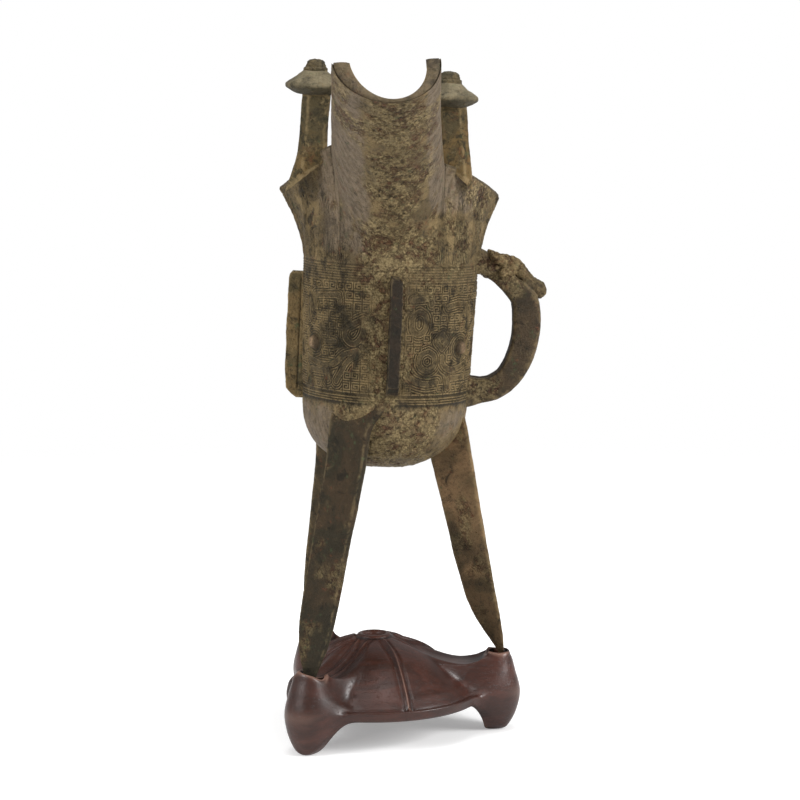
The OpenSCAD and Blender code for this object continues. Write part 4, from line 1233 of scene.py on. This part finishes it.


# Eyes
# The masks' four eyes: round bosses cast on the band, each set in a smooth round recess,
# with a painted highlight on top and painted shade all round it.
EYES = (("eye_front_left", 213), ("eye_front_right", -33),
        ("eye_rear_left", 147), ("eye_rear_right", 33))
EYE_Z = 135.7
EYE_PROFILE = np.array([
    (0.05, 2.2), (0.6, 2.15), (0.9, 2.3), (1.4, 2.15), (1.9, 1.7), (2.3, 1.0), (2.5, 0.4), (2.8, 0.05),
    (3.3, -0.15), (4.0, -0.5), (4.0, -1.6), (0.05, -1.6)])
# The bosses are coloured light as a painted highlight; eye_shadow darkens all but their tops with
# painted shade.
eye_skin = bronze("bronze_eye", rgb(150, 124, 94), rgb(112, 92, 70), rgb(54, 44, 32), 0.1, 0.4, 0.5, 0.8)


def eye_shadow(p, way):
    """Dark all round the eye's bright top, by the distance from the line that runs out of it."""
    return 0.9 * smoothstep(1.2, 2.3, np.linalg.norm(p - np.outer(p @ way, way), axis=1))


for node, azimuth in EYES:
    x, y = BODY_A * cosd(azimuth), BODY_B * sind(azimuth)
    face = math.atan2(y / BODY_B ** 2, x / BODY_A ** 2)
    turn = np.radians(np.arange(64) * 360 / 64)
    smooth = profile_at(EYE_PROFILE, np.linspace(0, len(EYE_PROFILE) - 1.001, 60))
    profile = np.maximum(smooth, [0.05, -9])[::-1]
    r, h = profile[:, :1], profile[:, 1:]
    across, up = r * np.cos(turn), r * np.sin(turn)
    rings = np.stack([x + h * math.cos(face) - across * math.sin(face),
                      y + h * math.sin(face) + across * math.cos(face), EYE_Z + up], -1)
    boss = tube(node.replace("eye", "eye_boss"), seated(rings))
    mark_edges(boss, 0.3, 5)
    middle, way = seated(np.array([x, y, EYE_Z])), np.array([math.cos(face), math.sin(face), 0])
    mark_zone(boss, "grime_and_shade", lambda p: eye_shadow(p - middle, way))
    boss.data.materials.append(eye_skin)
    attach(boss, "vessel")
    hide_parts(node)


# Studio
# A plain pale floor that fades into a white surround, and large soft lamps to the left,
# to the right and overhead. The camera stands in front and a little above.
floor_mesh = bpy.data.meshes.new("studio_floor")
floor_mesh.from_pydata([(-3, -3, 0), (3, -3, 0), (3, 3, 0), (-3, 3, 0)], [], [(0, 1, 2, 3)])
floor = bpy.data.objects.new("studio_floor", floor_mesh)
bpy.context.scene.collection.objects.link(floor)
paper, tree, sheet, where = new_material("studio_paper")
sheet.inputs["Base Color"].default_value = (0.85, 0.85, 0.85, 1)
sheet.inputs["Roughness"].default_value = 0.9
sheet.inputs["Specular IOR Level"].default_value = 0
view_ray = add(tree, "LightPath").outputs["Is Camera Ray"]
glow = add(tree, "Emission")
feed(tree, glow.inputs["Strength"], times(tree, view_ray, 0.3))
lit_paper = add(tree, "AddShader")
feed(tree, lit_paper.inputs[0], sheet.outputs[0])
feed(tree, lit_paper.inputs[1], glow.outputs[0])
away = add(tree, "VectorMath", operation="LENGTH")
feed(tree, away.inputs[0], where)
fading = add(tree, "MixShader")
feed(tree, fading.inputs[0], band_of(tree, away.outputs["Value"], 0.3, 0.75))
feed(tree, fading.inputs[1], lit_paper.outputs[0])
feed(tree, fading.inputs[2], add(tree, "BsdfTransparent").outputs[0])
feed(tree, tree.nodes["Material Output"].inputs["Surface"], fading.outputs[0])
floor.data.materials.append(paper)

world = bpy.data.worlds.new("studio")
bpy.context.scene.world = world
world.use_nodes = True
tree = world.node_tree
tree.nodes.clear()
path = add(tree, "LightPath")
lit, seen = add(tree, "Background"), add(tree, "Background")
lit.inputs["Strength"].default_value = 0.42
seen.inputs["Strength"].default_value = 1.0
for background in (lit, seen):
    background.inputs["Color"].default_value = (1, 1, 1, 1)
mixed = add(tree, "MixShader")
feed(tree, mixed.inputs[0], path.outputs["Is Camera Ray"])
feed(tree, mixed.inputs[1], lit.outputs[0])
feed(tree, mixed.inputs[2], seen.outputs[0])
feed(tree, add(tree, "OutputWorld").inputs[0], mixed.outputs[0])

AIM = Vector((0, 0, 0.11))
LAMPS = (("lamp_left", (-0.75, -0.5, 0.55), 0.4, 6.6),
         ("lamp_right", (0.8, -0.35, 0.5), 0.4, 9.0),
         ("lamp_top", (0.0, -0.1, 1.1), 0.5, 5.5))
for name, place, size, watts in LAMPS:
    light = bpy.data.lights.new(name, "AREA")
    light.shape, light.size, light.energy = "SQUARE", size, watts
    holder = bpy.data.objects.new(name, light)
    bpy.context.scene.collection.objects.link(holder)
    holder.location = place
    holder.rotation_euler = (AIM - Vector(place)).to_track_quat("-Z", "Y").to_euler()

camera_data = bpy.data.cameras.new("camera")
camera_data.lens, camera_data.sensor_width = 108.7, 36
camera_data.clip_start, camera_data.clip_end = 0.01, 50
camera = bpy.data.objects.new("camera", camera_data)
bpy.context.scene.collection.objects.link(camera)
camera.location = (-0.00392, -0.8095, 0.2155)
camera.rotation_euler = (math.radians(83), 0, 0)
bpy.context.scene.camera = camera
bpy.context.scene.view_settings.view_transform = "Standard"
